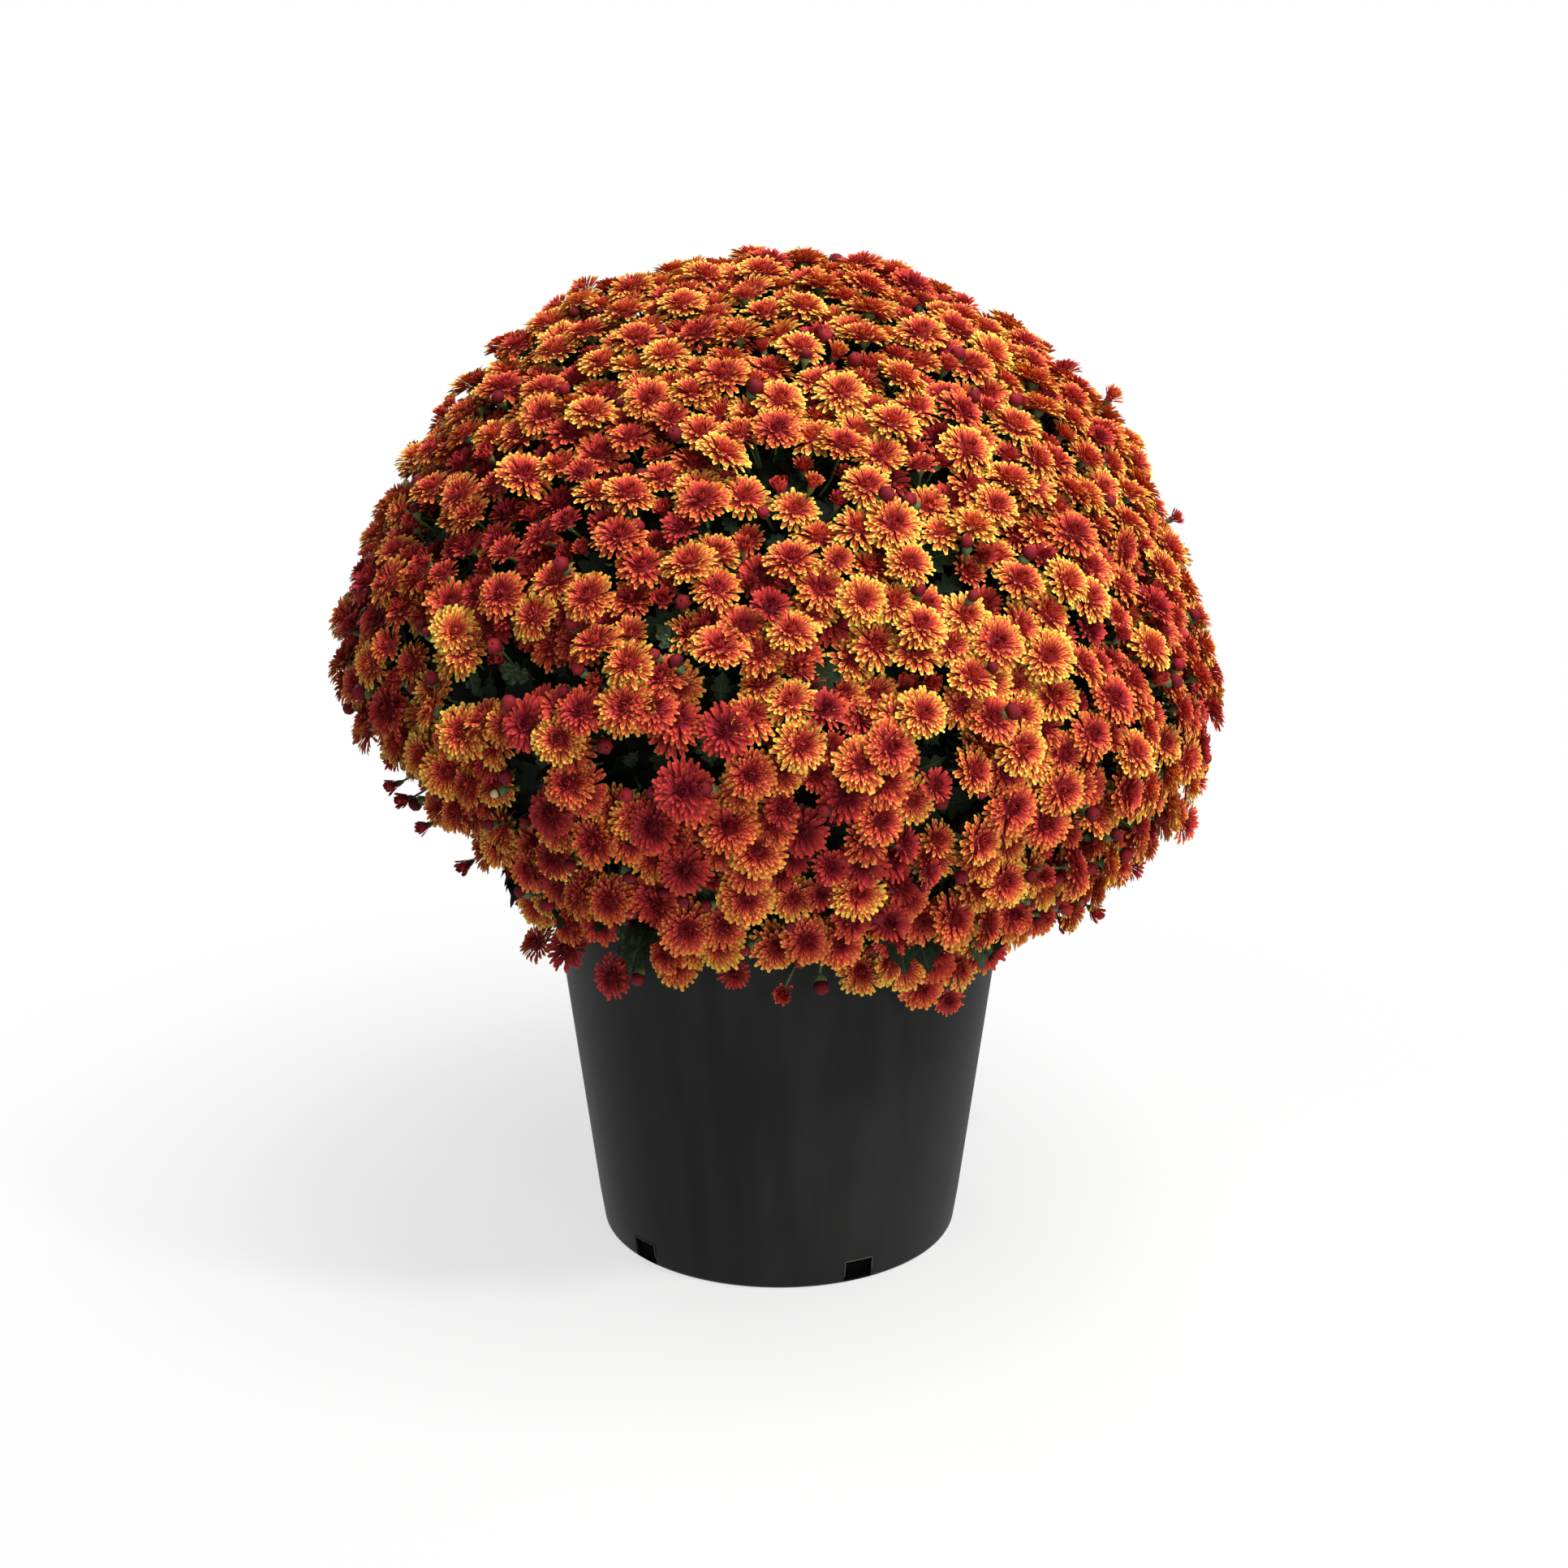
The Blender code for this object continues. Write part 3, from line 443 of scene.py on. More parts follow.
class Pile:
    """Points, triangles and chart places gathered for one piece."""

    def __init__(self):
        self.verts = []
        self.faces = []
        self.spots = []
        self.count = 0

    def add(self, verts, faces, spots):
        self.verts.append(verts)
        self.faces.append(faces + self.count)
        self.spots.append(spots)
        self.count += len(verts)

    def add_copies(self, shape, scales, turns, origins, cells, grid):
        """Copies of one shape, each on its own cell of the chart."""
        verts, faces, spots = shape
        placed = np.einsum("pij,kj->pki", turns, verts) * scales[:, None, None] + origins[:, None]
        spots = (cells[:, None] + spots[None]) / grid
        self.add(placed.reshape(-1, 3), copied_faces(faces, len(origins), len(verts)), spots.reshape(-1, 2))

    def piece(self, name, material):
        """One smooth object from all that was gathered."""
        verts = np.concatenate(self.verts)
        faces = np.concatenate(self.faces)
        spots = np.concatenate(self.spots)
        mesh = bpy.data.meshes.new(name)
        mesh.vertices.add(len(verts))
        mesh.vertices.foreach_set("co", verts.astype(np.float32).ravel())
        mesh.loops.add(faces.size)
        mesh.loops.foreach_set("vertex_index", faces.astype(np.int32).ravel())
        mesh.polygons.add(len(faces))
        mesh.polygons.foreach_set("loop_start", np.arange(0, faces.size, 3, dtype=np.int32))
        chart = mesh.uv_layers.new(name=CHART)
        chart.data.foreach_set("uv", spots.astype(np.float32)[faces.ravel()].ravel())
        mesh.polygons.foreach_set("use_smooth", np.full(len(faces), True))
        mesh.update(calc_edges=True)
        return add_object(name, mesh, material)


def copied_faces(faces, count, size):
    """The faces of so many copies of a shape that has size points."""
    return (faces[None] + (np.arange(count) * size)[:, None, None]).reshape(-1, 3)


def round_faces(rows, sides):
    """Triangles between rows of points that go round a ball or a tube."""
    faces = []
    for row in range(rows - 1):
        for k in range(sides):
            a = row * sides + k
            b = row * sides + (k + 1) % sides
            faces += [(a, b, b + sides), (a, b + sides, a + sides)]
    return np.array(faces)


def circle(radius, height, sides):
    turns = [FULL_TURN * k / sides for k in range(sides)]
    return [(radius * math.cos(turn), radius * math.sin(turn), height) for turn in turns]


def frames_facing(facing, spins):
    """Rotation matrices whose third column is the facing, turned about it by the spin."""
    start = np.where((np.abs(facing[:, 2]) < 0.9)[:, None], UP, np.array([1.0, 0, 0]))
    side = unit(np.cross(start, facing))
    other = np.cross(facing, side)
    first = side * np.cos(spins)[:, None] + other * np.sin(spins)[:, None]
    return np.stack([first, np.cross(facing, first), facing], axis=2)


# Petals: a curved, cupped blade with a rounded tip.

# Each form: triangles, stations along the petal, and for each point its station and place across.
LONG_PETAL = (
    np.array([(0, 2, 1), (0, 3, 2), (1, 2, 4), (2, 5, 4), (2, 3, 5)]),
    np.array([0, 0.77, 1.0]),
    np.array([0, 1, 1, 1, 2, 2]),
    np.array([0, 1, 0, -1, 0.5, -0.5]),
)
SHORT_PETAL = (
    np.array([(0, 2, 1), (0, 3, 2), (1, 2, 4), (2, 3, 4)]),
    np.array([0, 0.68, 1.0]),
    np.array([0, 1, 1, 1, 2]),
    np.array([0, 1, 0, -1, 0]),
)
LAYER_COLUMN = 9
HEAD_COLUMN = 10

# How petals of a layer differ: turn as a share of their pitch, length, width, lift in degrees, cup
# and roll. Each layer is turned a little more than half a pitch from the last.
LAYER_TURN = 0.4
TURN_SPREAD = 0.24
LENGTHS = (0.88, 1.06)
WIDTHS = (0.86, 1.12)
LIFT_SPREAD = 5
TIP_LIFT = 1.4
CUPS = (0.16, 0.32)
ROLL_SPREAD = 0.25


def petal_points(petals, stations, rows, across):
    """Points of each petal in its head's own frame. Lengths are in mm."""
    azimuth, base, height, length, width, rise, tip_rise, cup, roll = petals.T[:LAYER_COLUMN]
    radial = np.stack([np.cos(azimuth), np.sin(azimuth), np.zeros_like(azimuth)], axis=1)
    side = np.stack([-np.sin(azimuth), np.cos(azimuth), np.zeros_like(azimuth)], axis=1)
    line = [radial * base[:, None] + UP * height[:, None]]
    for start, end in zip(stations, stations[1:]):
        angle = rise + (tip_rise - rise) * (start + end) / 2
        step = (length * (end - start))[:, None]
        line.append(line[-1] + (radial * np.cos(angle)[:, None] + UP * np.sin(angle)[:, None]) * step)
    line = np.stack(line, axis=1)
    slope = rise[:, None] + (tip_rise - rise)[:, None] * stations[None]
    normal = -radial[:, None] * np.sin(slope)[:, :, None] + UP * np.cos(slope)[:, :, None]
    roll = roll[:, None, None]
    lateral = side[:, None] * np.cos(roll) + normal * np.sin(roll)
    outward = normal * np.cos(roll) - side[:, None] * np.sin(roll)
    half = (width / 2)[:, None, None] * across[None, :, None]
    lift = (width * cup)[:, None, None] * (across ** 2)[None, :, None]
    return line[:, rows] + lateral[:, rows] * half + outward[:, rows] * lift


def head_petals(layers, scale, rng):
    """The petals of one head: a row of numbers for each, with its layer last."""
    rows = []
    start = rng.uniform(0, FULL_TURN)
    for k, (count, base, height, length, width, rise, tip_rise) in enumerate(layers):
        start += math.pi / count + LAYER_TURN
        turns = np.arange(count) + rng.uniform(-TURN_SPREAD, TURN_SPREAD, count)
        lift = rng.normal(0, LIFT_SPREAD, count)
        rows.append(np.stack([
            start + FULL_TURN * turns / count,
            np.full(count, base * scale),
            np.full(count, height * scale),
            length * scale * rng.uniform(*LENGTHS, count),
            width * scale * rng.uniform(*WIDTHS, count),
            np.radians(rise + lift),
            np.radians(tip_rise + lift * TIP_LIFT + rng.normal(0, LIFT_SPREAD, count)),
            rng.uniform(*CUPS, count),
            rng.normal(0, ROLL_SPREAD, count),
            np.full(count, k),
        ], axis=1))
    return np.concatenate(rows)


def add_petals(pile, petals, blooms, form):
    """Petals of one form, each on the chart cell for its layer and the tone of its head."""
    faces, stations, rows, across = form
    heads = petals[:, HEAD_COLUMN].astype(int)
    points = petal_points(petals, stations, rows, across) * MM
    placed = np.einsum("pij,pkj->pki", blooms.turns[heads], points) + blooms.origins[heads][:, None]
    column = petals[:, LAYER_COLUMN, None] + 0.5 - across * (0.5 - CELL_SIDE)
    row = blooms.tones[heads][:, None] + CELL_END + (1 - 2 * CELL_END) * stations[rows]
    spots = np.stack([column, row], axis=2) / PETAL_GRID
    pile.add(placed.reshape(-1, 3), copied_faces(faces, len(petals), len(rows)), spots.reshape(-1, 2))


# Heads.


class Blooms:
    """Where each head sits, how it faces, its kind and radius, and how yellow it is, with painted light
    towards the top and painted shade lower down and deep in.
    """

    def __init__(self, rng, gaps, radii, box):
        directions, levels = self.spread(rng, gaps, radii)
        count = len(levels)
        closer = TOP_CLOSER * np.clip(directions[:, 2] * 2 - 0.8, 0, 1)
        depth = levels * LEVEL_STEP * (1 - closer) - HEAD_BASE + rng.uniform(*DEPTH_SPREAD, count) * MM
        normal = dome_normal(directions)
        loose = rng.normal(0, FACING_SPREAD, (count, 3))
        facing = unit(normal * (1 - UPWARD_SHARE) + UP * UPWARD_SHARE + loose)
        facing[:, 2] = np.maximum(facing[:, 2], LOWEST_FACING)
        top_kinds = rng.choice(len(KINDS), count, p=[kind.top_share for kind in KINDS])
        lower_kinds = rng.choice(len(KINDS), count, p=[kind.lower_share for kind in KINDS])
        right, down, stray_kinds, behind, stray_facing = zip(*STRAY_HEADS)
        strays = seen_behind(right, down, behind)
        origins = np.concatenate([to_world(on_dome(directions) - normal * depth[:, None]), strays])
        self.facing = unit(np.concatenate([turned_to_world(unit(facing)), stray_facing]))
        self.kinds = np.concatenate([np.where(levels == 0, top_kinds, lower_kinds), stray_kinds])
        count = len(self.kinds)
        self.turns = frames_facing(self.facing, rng.uniform(0, FULL_TURN, count))
        numbers = np.array([(kind.smallest, kind.largest, kind.tone) for kind in KINDS])
        smallest, largest, shift = numbers[self.kinds].T
        self.radius = smallest + (largest - smallest) * rng.uniform(0, 1, count)
        across = np.sqrt(1 - self.facing ** 2) * self.radius[:, None] * BOX_SPARE * MM
        spare = across + np.abs(self.facing) * HEAD_RISE
        self.origins = keep_inside(origins, spare, box)
        self.tones = self.choose_tones_and_light(rng, shift, levels)

    @staticmethod
    def spread(rng, gaps, radii):
        """Directions and levels of the heads on the dome, clear of the gaps, deep ones last."""
        upper = far_directions(rng, HEAD_COUNT, HEADS_LOWEST, HEAD_TRIES)
        upper = open_gaps(push_apart(upper, HEADS_LOWEST, HEAD_PASSES), gaps, radii)
        points = on_dome(upper)
        levels = choose_levels(points, rng)
        taken = np.concatenate([points, on_dome(gaps)])
        deep = far_directions(rng, DEEP_COUNT, DEEP_LOWEST, DEEP_TRIES, taken)
        return np.concatenate([upper, deep]), np.concatenate([levels, np.full(DEEP_COUNT, LEVELS)])

    def choose_tones_and_light(self, rng, shift, levels):
        patches = sum(
            np.sin(self.origins @ rng.normal(0, PATCH_PITCH, 3) + rng.uniform(0, 6)) for _ in range(PATCHES)
        )
        tone = MIDDLE_TONE + patches * PATCH_TONE + rng.normal(0, TONE_SPREAD, len(shift)) + shift
        # Yellower towards the top and redder lower down: painted light from above and painted shade below.
        tone += PAINTED_LIGHT_BY_HEIGHT * np.clip((self.origins[:, 2] - PAINTED_LIGHT_FROM) / PAINTED_LIGHT_OVER, -1, 0.4)
        # The deep heads are made darker and redder: painted shade under the upper heads.
        tone[:len(levels)] += DEEP_PAINTED_SHADE * (levels == LEVELS)
        return np.clip(np.round(tone), 0, LAST_CELL)


# The closed heart under a head's innermost petals, in mm, and the yellowest tone that it takes.
HEART_SIDES = 8
HEART_RADIUS = 7.2
HEART_EDGE = 0.6
HEART_TOP = 3.6
HEART_TONE = 3


def heart_shape():
    """A flat cone, with its chart places. Lengths are in mm."""
    verts = np.array([(0, 0, HEART_TOP)] + circle(HEART_RADIUS, HEART_EDGE, HEART_SIDES))
    faces = np.array([(0, 1 + k, 1 + (k + 1) % HEART_SIDES) for k in range(HEART_SIDES)])
    return verts, faces, np.array([(0.5, 0.4)] + [(0.5, 0.9)] * HEART_SIDES)


def nearest_spray(points, centres):
    return (unit(points - DOME_CENTRE) @ centres.T).argmax(axis=1)


def make_blooms(blooms, sprays, centres, material, rng):
    """One piece of heads for each spray of the part."""
    owner = nearest_spray(blooms.origins, centres)
    hearts = np.array([kind.heart for kind in KINDS])[blooms.kinds]
    for k, spray in enumerate(sprays):
        mine = np.nonzero(owner == k)[0]
        long_petals = []
        short_petals = []
        for i in mine:
            kind = KINDS[blooms.kinds[i]]
            petals = head_petals(kind.layers, blooms.radius[i] / NOMINAL_RADIUS, rng)
            petals = np.hstack([petals, np.full((len(petals), 1), i)])
            short = petals[:, LAYER_COLUMN] >= kind.first_short
            long_petals.append(petals[~short])
            short_petals.append(petals[short])
        tones = np.minimum(blooms.tones[mine], HEART_TONE)
        cells = np.stack([np.full(len(mine), LAST_CELL), tones], axis=1)
        scales = blooms.radius[mine] / NOMINAL_RADIUS * hearts[mine] * MM
        pile = Pile()
        pile.add_copies(heart_shape(), scales, blooms.turns[mine], blooms.origins[mine], cells, PETAL_GRID)
        add_petals(pile, np.concatenate(long_petals), blooms, LONG_PETAL)
        add_petals(pile, np.concatenate(short_petals), blooms, SHORT_PETAL)
        piece = pile.piece("blooms_%02d" % (k + 1), material)
        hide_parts(spray)
        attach(piece, "root")


# Buds: a ridged ball of closed petals.

Buds = namedtuple("Buds", "origins facing radius")


def bud_shape():
    """A closed bud of unit radius, with ridges that twist, and its chart places."""
    sides = 12
    profile = [(0.25, -0.62), (0.8, -0.45), (0.98, 0.1), (0.72, 0.7), (0.26, 0.93), (0.1, 0.82)]
    verts = np.array([point for radius, height in profile for point in circle(radius, height, sides)])
    on_ridge = np.tile(np.arange(sides) % 2 == 0, len(profile))
    x, y = (verts[:, :2] * np.where(on_ridge, 1.08, 0.86)[:, None]).T
    height = verts[:, 2]
    cos, sin = np.cos(height * 0.35), np.sin(height * 0.35)
    turned = np.stack([x * cos - y * sin, x * sin + y * cos, height], axis=1)
    across = np.where(on_ridge, 0.5, CELL_SIDE)
    along = np.repeat(np.linspace(0.1, 0.9, len(profile)), sides)
    return turned, round_faces(len(profile), sides), np.stack([across, along], axis=1)


def plan_buds(rng, blooms, gaps, box):
    """Where each bud sits, between the heads, how it faces, and its radius in mm."""
    taken = on_dome(np.concatenate([dome_direction(blooms.origins), gaps]))
    directions = far_directions(rng, BUD_COUNT, HEADS_LOWEST, BUD_TRIES, taken)
    normal = dome_normal(directions)
    depth = rng.uniform(*BUD_DEPTHS, BUD_COUNT) * MM
    right, down, behind, stray_radius = zip(*STRAY_BUDS)
    strays = seen_behind(right, down, behind)
    origins = np.concatenate([to_world(on_dome(directions) - normal * depth[:, None]), strays])
    loose = rng.normal(0, BUD_FACING_SPREAD, (BUD_COUNT, 3))
    facing = unit(turned_to_world(normal * (1 - BUD_UPWARD_SHARE) + UP * BUD_UPWARD_SHARE + loose))
    stray_facing = unit(unit(strays - DOME_CENTRE) - UP * 0.1)
    radius = np.concatenate([rng.uniform(*BUD_RADII, BUD_COUNT), stray_radius])
    origins = keep_inside(origins, radius[:, None] * BOX_SPARE * MM, box)
    return Buds(origins, np.concatenate([facing, stray_facing]), radius)


def make_buds(buds, material, rng):
    count = len(buds.origins)
    turns = frames_facing(buds.facing, rng.uniform(0, FULL_TURN, count))
    cream = rng.uniform(0, 1, count) < CREAM_BUD_SHARE
    tones = np.where(cream, LAST_CELL, rng.integers(0, 3, count))
    scales = buds.radius * np.where(cream, CREAM_BUD_SIZE, 1) * MM
    cells = np.stack([np.full(count, LAST_CELL), tones], axis=1)
    pile = Pile()
    pile.add_copies(bud_shape(), scales, turns, buds.origins, cells, PETAL_GRID)
    piece = pile.piece("buds", material)
    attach(piece, "root")


# Leaves: in the gaps, just under the heads, deep inside, and round the rim of the pot.

LeafGroup = namedtuple("LeafGroup", "shape bases along outward lengths tints")
# Cells of leaf tint; the darker ones are also painted shade.
LEAF_TINT_SHADES = LEAF_GRID ** 2
NEAR_LEAVES = 900
DEEP_LEAVES = 2300
DEEP_LEAVES_LOWEST = math.radians(-44)
LEAF_SPREAD = 0.12
# Share of a leaf's length that is before its middle.
LEAF_HOLD = 0.45
# Leaves at the rim: distances from the pot's axis, heights, depth under the heads and lengths in mm.
RIM_LEAVES = 150
RIM_LEAF_RINGS = (135, 175)
RIM_LEAF_HEIGHTS = (247, 272)
RIM_LEAF_DEPTH = 26
RIM_LEAF_LENGTHS = (26, 42)
RIM_LEAF_FALL = (0.1, 0.8)
RIM_LEAF_SPREAD = 0.25

# Half outlines and midrib stations of a leaf seen close and of one deep inside.
LOBED = (
    [
        (0.0, 0.02), (0.16, 0.05), (0.27, 0.2), (0.35, 0.22), (0.4, 0.12), (0.5, 0.3), (0.6, 0.31),
        (0.64, 0.17), (0.75, 0.24), (0.84, 0.2), (0.88, 0.1), (0.95, 0.06), (1.0, 0.0),
    ],
    [0.0, 0.2, 0.4, 0.62, 0.84, 1.0],
)
BROAD = ([(0.0, 0.04), (0.2, 0.24), (0.38, 0.2), (0.55, 0.36), (0.8, 0.24), (1.0, 0.0)], [0.0, 0.5, 1.0])


def leaf_shape(half, rib):
    """A lobed leaf of unit length along X, folded along its midrib, with wavy raised edges."""
    tip = len(rib) - 1
    flat = [(x, 0.0) for x in rib]
    near = [min(range(len(rib)), key=lambda r: abs(rib[r] - x + 0.03)) for x, _ in half[:-1]] + [tip]
    faces = []
    for sign in (1, -1):
        edge = [len(flat) + k for k in range(len(half) - 1)] + [tip]
        flat += [(x, y * sign) for x, y in half[:-1]]
        for k in range(len(half) - 1):
            for a, b, c in ((near[k], edge[k], edge[k + 1]), (near[k], edge[k + 1], near[k + 1])):
                if len({a, b, c}) == 3:
                    faces.append((a, c, b) if sign > 0 else (a, b, c))
    x, y = np.array(flat).T
    lift = np.abs(y) * 0.45 + 0.05 * np.sin(x * 17) * np.abs(y) / 0.3 - 0.32 * x * x
    spots = np.stack([0.05 + 0.9 * x, 0.5 + y * 1.3], axis=1)
    return np.stack([x, y, lift], axis=1), np.array(faces), spots


def lay_leaves(rng, shape, directions, depths, lengths, rise, tints):
    """Leaves along the dome, raised by a share from it, with ranges of depth and length in mm."""
    count = len(directions)
    normal = dome_normal(directions)
    depth = rng.uniform(*depths, count) * MM
    middles = to_world(on_dome(directions) - normal * depth[:, None])
    out = turned_to_world(normal)
    loose = rng.normal(0, 1, out.shape)
    flat = unit(loose - out * (loose * out).sum(axis=1, keepdims=True))
    along = unit(flat + out * rise)
    lengths = rng.uniform(*lengths, count) * MM
    bases = middles - along * lengths[:, None] * LEAF_HOLD
    return LeafGroup(shape, bases, along, out, lengths, rng.integers(0, tints, count))


def rim_leaves(rng, shape):
    """Leaves that come out over the rim of the pot, held under the lowest heads."""
    angle = rng.uniform(0, FULL_TURN, RIM_LEAVES)
    ray = np.stack([np.cos(angle), np.sin(angle), np.zeros(RIM_LEAVES)], axis=1)
    bases = ray * rng.uniform(*RIM_LEAF_RINGS, RIM_LEAVES)[:, None] * MM
    bases = bases + UP * rng.uniform(*RIM_LEAF_HEIGHTS, RIM_LEAVES)[:, None] * MM
    away = bases - DOME_CENTRE
    share = (dome_reach(dome_direction(bases)) - RIM_LEAF_DEPTH * MM) / np.linalg.norm(away, axis=1)
    bases = DOME_CENTRE + away * np.minimum(share, 1)[:, None]
    fall = UP * rng.uniform(*RIM_LEAF_FALL, RIM_LEAVES)[:, None]
    along = unit(ray - fall + rng.normal(0, RIM_LEAF_SPREAD, (RIM_LEAVES, 3)))
    lengths = rng.uniform(*RIM_LEAF_LENGTHS, RIM_LEAVES) * MM
    tints = rng.integers(0, LEAF_TINT_SHADES, RIM_LEAVES)
    return LeafGroup(shape, bases, along, unit(ray * 0.5 + UP), lengths, tints)


def plan_leaves(rng, gaps):
    lobed = leaf_shape(*LOBED)
    broad = leaf_shape(*BROAD)
    near = random_directions(rng, NEAR_LEAVES, HEADS_LOWEST)
    deep = random_directions(rng, DEEP_LEAVES, DEEP_LEAVES_LOWEST)
    return [
        lay_leaves(rng, lobed, gaps, (13, 26), (12, 22), 0.4, LEAF_TINT_SHADES),
        # Leaves just under the heads take only the darker cells and deep ones the three darkest: painted
        # shade.
        lay_leaves(rng, lobed, near, (16, 28), (18, 34), 0.3, 11),
        lay_leaves(rng, broad, deep, (30, 56), (42, 62), 0.05, 3),
        rim_leaves(rng, lobed),
    ]


def leaf_frames(along, outward, rng):
    """Rotation matrices with the leaf's length along the first column."""
    along = unit(along + rng.normal(0, LEAF_SPREAD, along.shape))
    side = unit(np.cross(outward, along))
    return np.stack([along, side, np.cross(along, side)], axis=2)


def sector(points):
    """Which main stem each point is nearest to, by its angle round the pot's axis."""
    angle = np.arctan2(points[:, 1], points[:, 0]) % FULL_TURN
    return (angle // (FULL_TURN / BRANCH_COUNT)).astype(int)


def make_leaves(groups, material, rng):
    for k in range(BRANCH_COUNT):
        pile = Pile()
        for group in groups:
            here = sector(group.bases) == k
            turns = leaf_frames(group.along[here], group.outward[here], rng)
            tints = group.tints[here]
            cells = np.stack([tints % LEAF_GRID, tints // LEAF_GRID], axis=1)
            pile.add_copies(group.shape, group.lengths[here], turns, group.bases[here], cells, LEAF_GRID)
        piece = pile.piece("leaves_%d" % (k + 1), material)
        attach(piece, "root")


# Stems: a trunk to a fork, an arm to the hub of each spray, twigs to the knots under groups of
# heads, and a stalk with a green cup for each head and bud. Radii are in mm.

TRUNK_RADII = np.linspace(5.2, 3.9, 8)
ARM_RADII = np.linspace(3.2, 2.1, 9)
TWIG_RADII = np.linspace(2.0, 1.3, 6)
STALK_RADII = np.array([1.2, 1.1, 0.9, 0.9])
FOOT_DEPTH = 10 * MM
HUB_DEPTH = 85 * MM
KNOT_DEPTH = 42 * MM
TRUNK_ARCH = 12 * MM
ARM_ARCH = 14 * MM
TWIG_SPREAD = 6 * MM
TWIGS = 9
GROUPING_ROUNDS = 3
NECK_DEPTH = 4.5 * MM
NECK_BEND = 20 * MM
CUP_DEPTHS = np.array([5, 1.8, 0]) * MM


def tubes(paths, radii, sides):
    """Tubes along many paths of equal length at once: paths is tubes x points x 3, radii in mm."""
    count, length, _ = paths.shape
    ahead = unit(np.gradient(paths, axis=1))
    start = np.where(np.abs(ahead[:, :1, 2:]) < 0.9, UP, np.array([1.0, 0, 0]))
    side = unit(np.cross(np.broadcast_to(start, ahead.shape), ahead))
    other = np.cross(ahead, side)
    turns = FULL_TURN * np.arange(sides)[:, None] / sides
    ring = side[:, :, None] * np.cos(turns) + other[:, :, None] * np.sin(turns)
    verts = paths[:, :, None] + ring * radii[:, :, None, None] * MM
    around = 0.1 + 0.8 * np.abs(np.arange(sides) / sides * 2 - 1)
    along = 0.1 + 0.8 * np.arange(length) / (length - 1)
    spots = np.stack([np.tile(around, length), np.repeat(along, sides)], axis=1)
    faces = copied_faces(round_faces(length, sides), count, length * sides)
    return verts.reshape(-1, 3), faces, np.tile(spots, (count, 1))


def bent_tubes(starts, middles, ends, radii, sides):
    """Tubes on smooth bends, with a point for each radius."""
    t = np.linspace(0, 1, len(radii))[None, :, None]
    a, b, c = (points.reshape(-1, 1, 3) for points in (starts, middles, ends))
    return tubes(a * (1 - t) ** 2 + b * 2 * t * (1 - t) + c * t * t, radii[None], sides)


def branch_point(k, ring, height):
    """A point of a main stem, so far from the pot's axis."""
    angle = FULL_TURN * (k + 0.5) / BRANCH_COUNT
    return np.array([ring * math.cos(angle), ring * math.sin(angle), height])


def group_heads(ends, rng):
    """Middles of a few groups of near heads, and the group of each head."""
    middles = ends[rng.choice(len(ends), TWIGS, replace=False)]
    for _ in range(GROUPING_ROUNDS):
        group = distances(ends, middles).argmin(axis=1)
        middles = np.array([
            ends[group == k].mean(axis=0) if (group == k).any() else middles[k] for k in range(TWIGS)
        ])
    return middles, distances(ends, middles).argmin(axis=1)


def add_spray_stems(pile, fork, hub, ends, facing, cups, rng):
    """All stems of one spray, from its main stem's fork to the cups under its heads and buds."""
    middles, group = group_heads(ends, rng)
    knots = middles + unit(hub - middles) * KNOT_DEPTH
    pile.add(*bent_tubes(fork, fork * 0.5 + hub * 0.5 + UP * ARM_ARCH, hub, ARM_RADII, 7))
    bends = hub * 0.5 + knots * 0.5 + rng.normal(0, TWIG_SPREAD, knots.shape)
    pile.add(*bent_tubes(hub, bends, knots, TWIG_RADII, 5))
    necks = ends - facing * NECK_DEPTH
    pile.add(*bent_tubes(knots[group], necks - facing * NECK_BEND, necks, STALK_RADII, 3))
    paths = ends[:, None] - facing[:, None] * CUP_DEPTHS[None, :, None]
    radii = np.stack([np.full(len(ends), 1.0), cups, cups * 0.9], axis=1)
    pile.add(*tubes(paths, radii, 5))


def make_stems(blooms, buds, centres, material, rng):
    """One piece for each main stem of the part."""
    bud_feet = buds.origins - buds.facing * buds.radius[:, None] * MM * 0.6
    ends = np.concatenate([blooms.origins, bud_feet])
    facing = np.concatenate([blooms.facing, buds.facing])
    cups = np.concatenate([blooms.radius * 0.24, buds.radius * 0.8])
    owner = nearest_spray(ends, centres)
    hubs = DOME_CENTRE + centres * (dome_reach(centres @ LEAN) - HUB_DEPTH)[:, None]
    forks = [branch_point(k, FORK_RING, FORK_Z) for k in range(BRANCH_COUNT)]
    piles = [Pile() for _ in range(BRANCH_COUNT)]
    for k, branch in enumerate(sector(hubs)):
        mine = owner == k
        add_spray_stems(piles[branch], forks[branch], hubs[k], ends[mine], facing[mine], cups[mine], rng)
    for k, (pile, fork) in enumerate(zip(piles, forks)):
        foot = branch_point(k, BRANCH_RING, SOIL_TOP - FOOT_DEPTH)
        pile.add(*bent_tubes(foot, foot * 0.55 + fork * 0.45 + UP * TRUNK_ARCH, fork, TRUNK_RADII, 9))
        piece = pile.piece("stems_%d" % (k + 1), material)
        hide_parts("branch_%d" % (k + 1))
        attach(piece, "root")


# Pot and soil.

POT_SIDES = 180
WALL_STEPS = 13
FOOT_ROUND = 4 * MM
RIM_ROUND = 1.4 * MM
RIM_BEVEL = 0.8 * MM
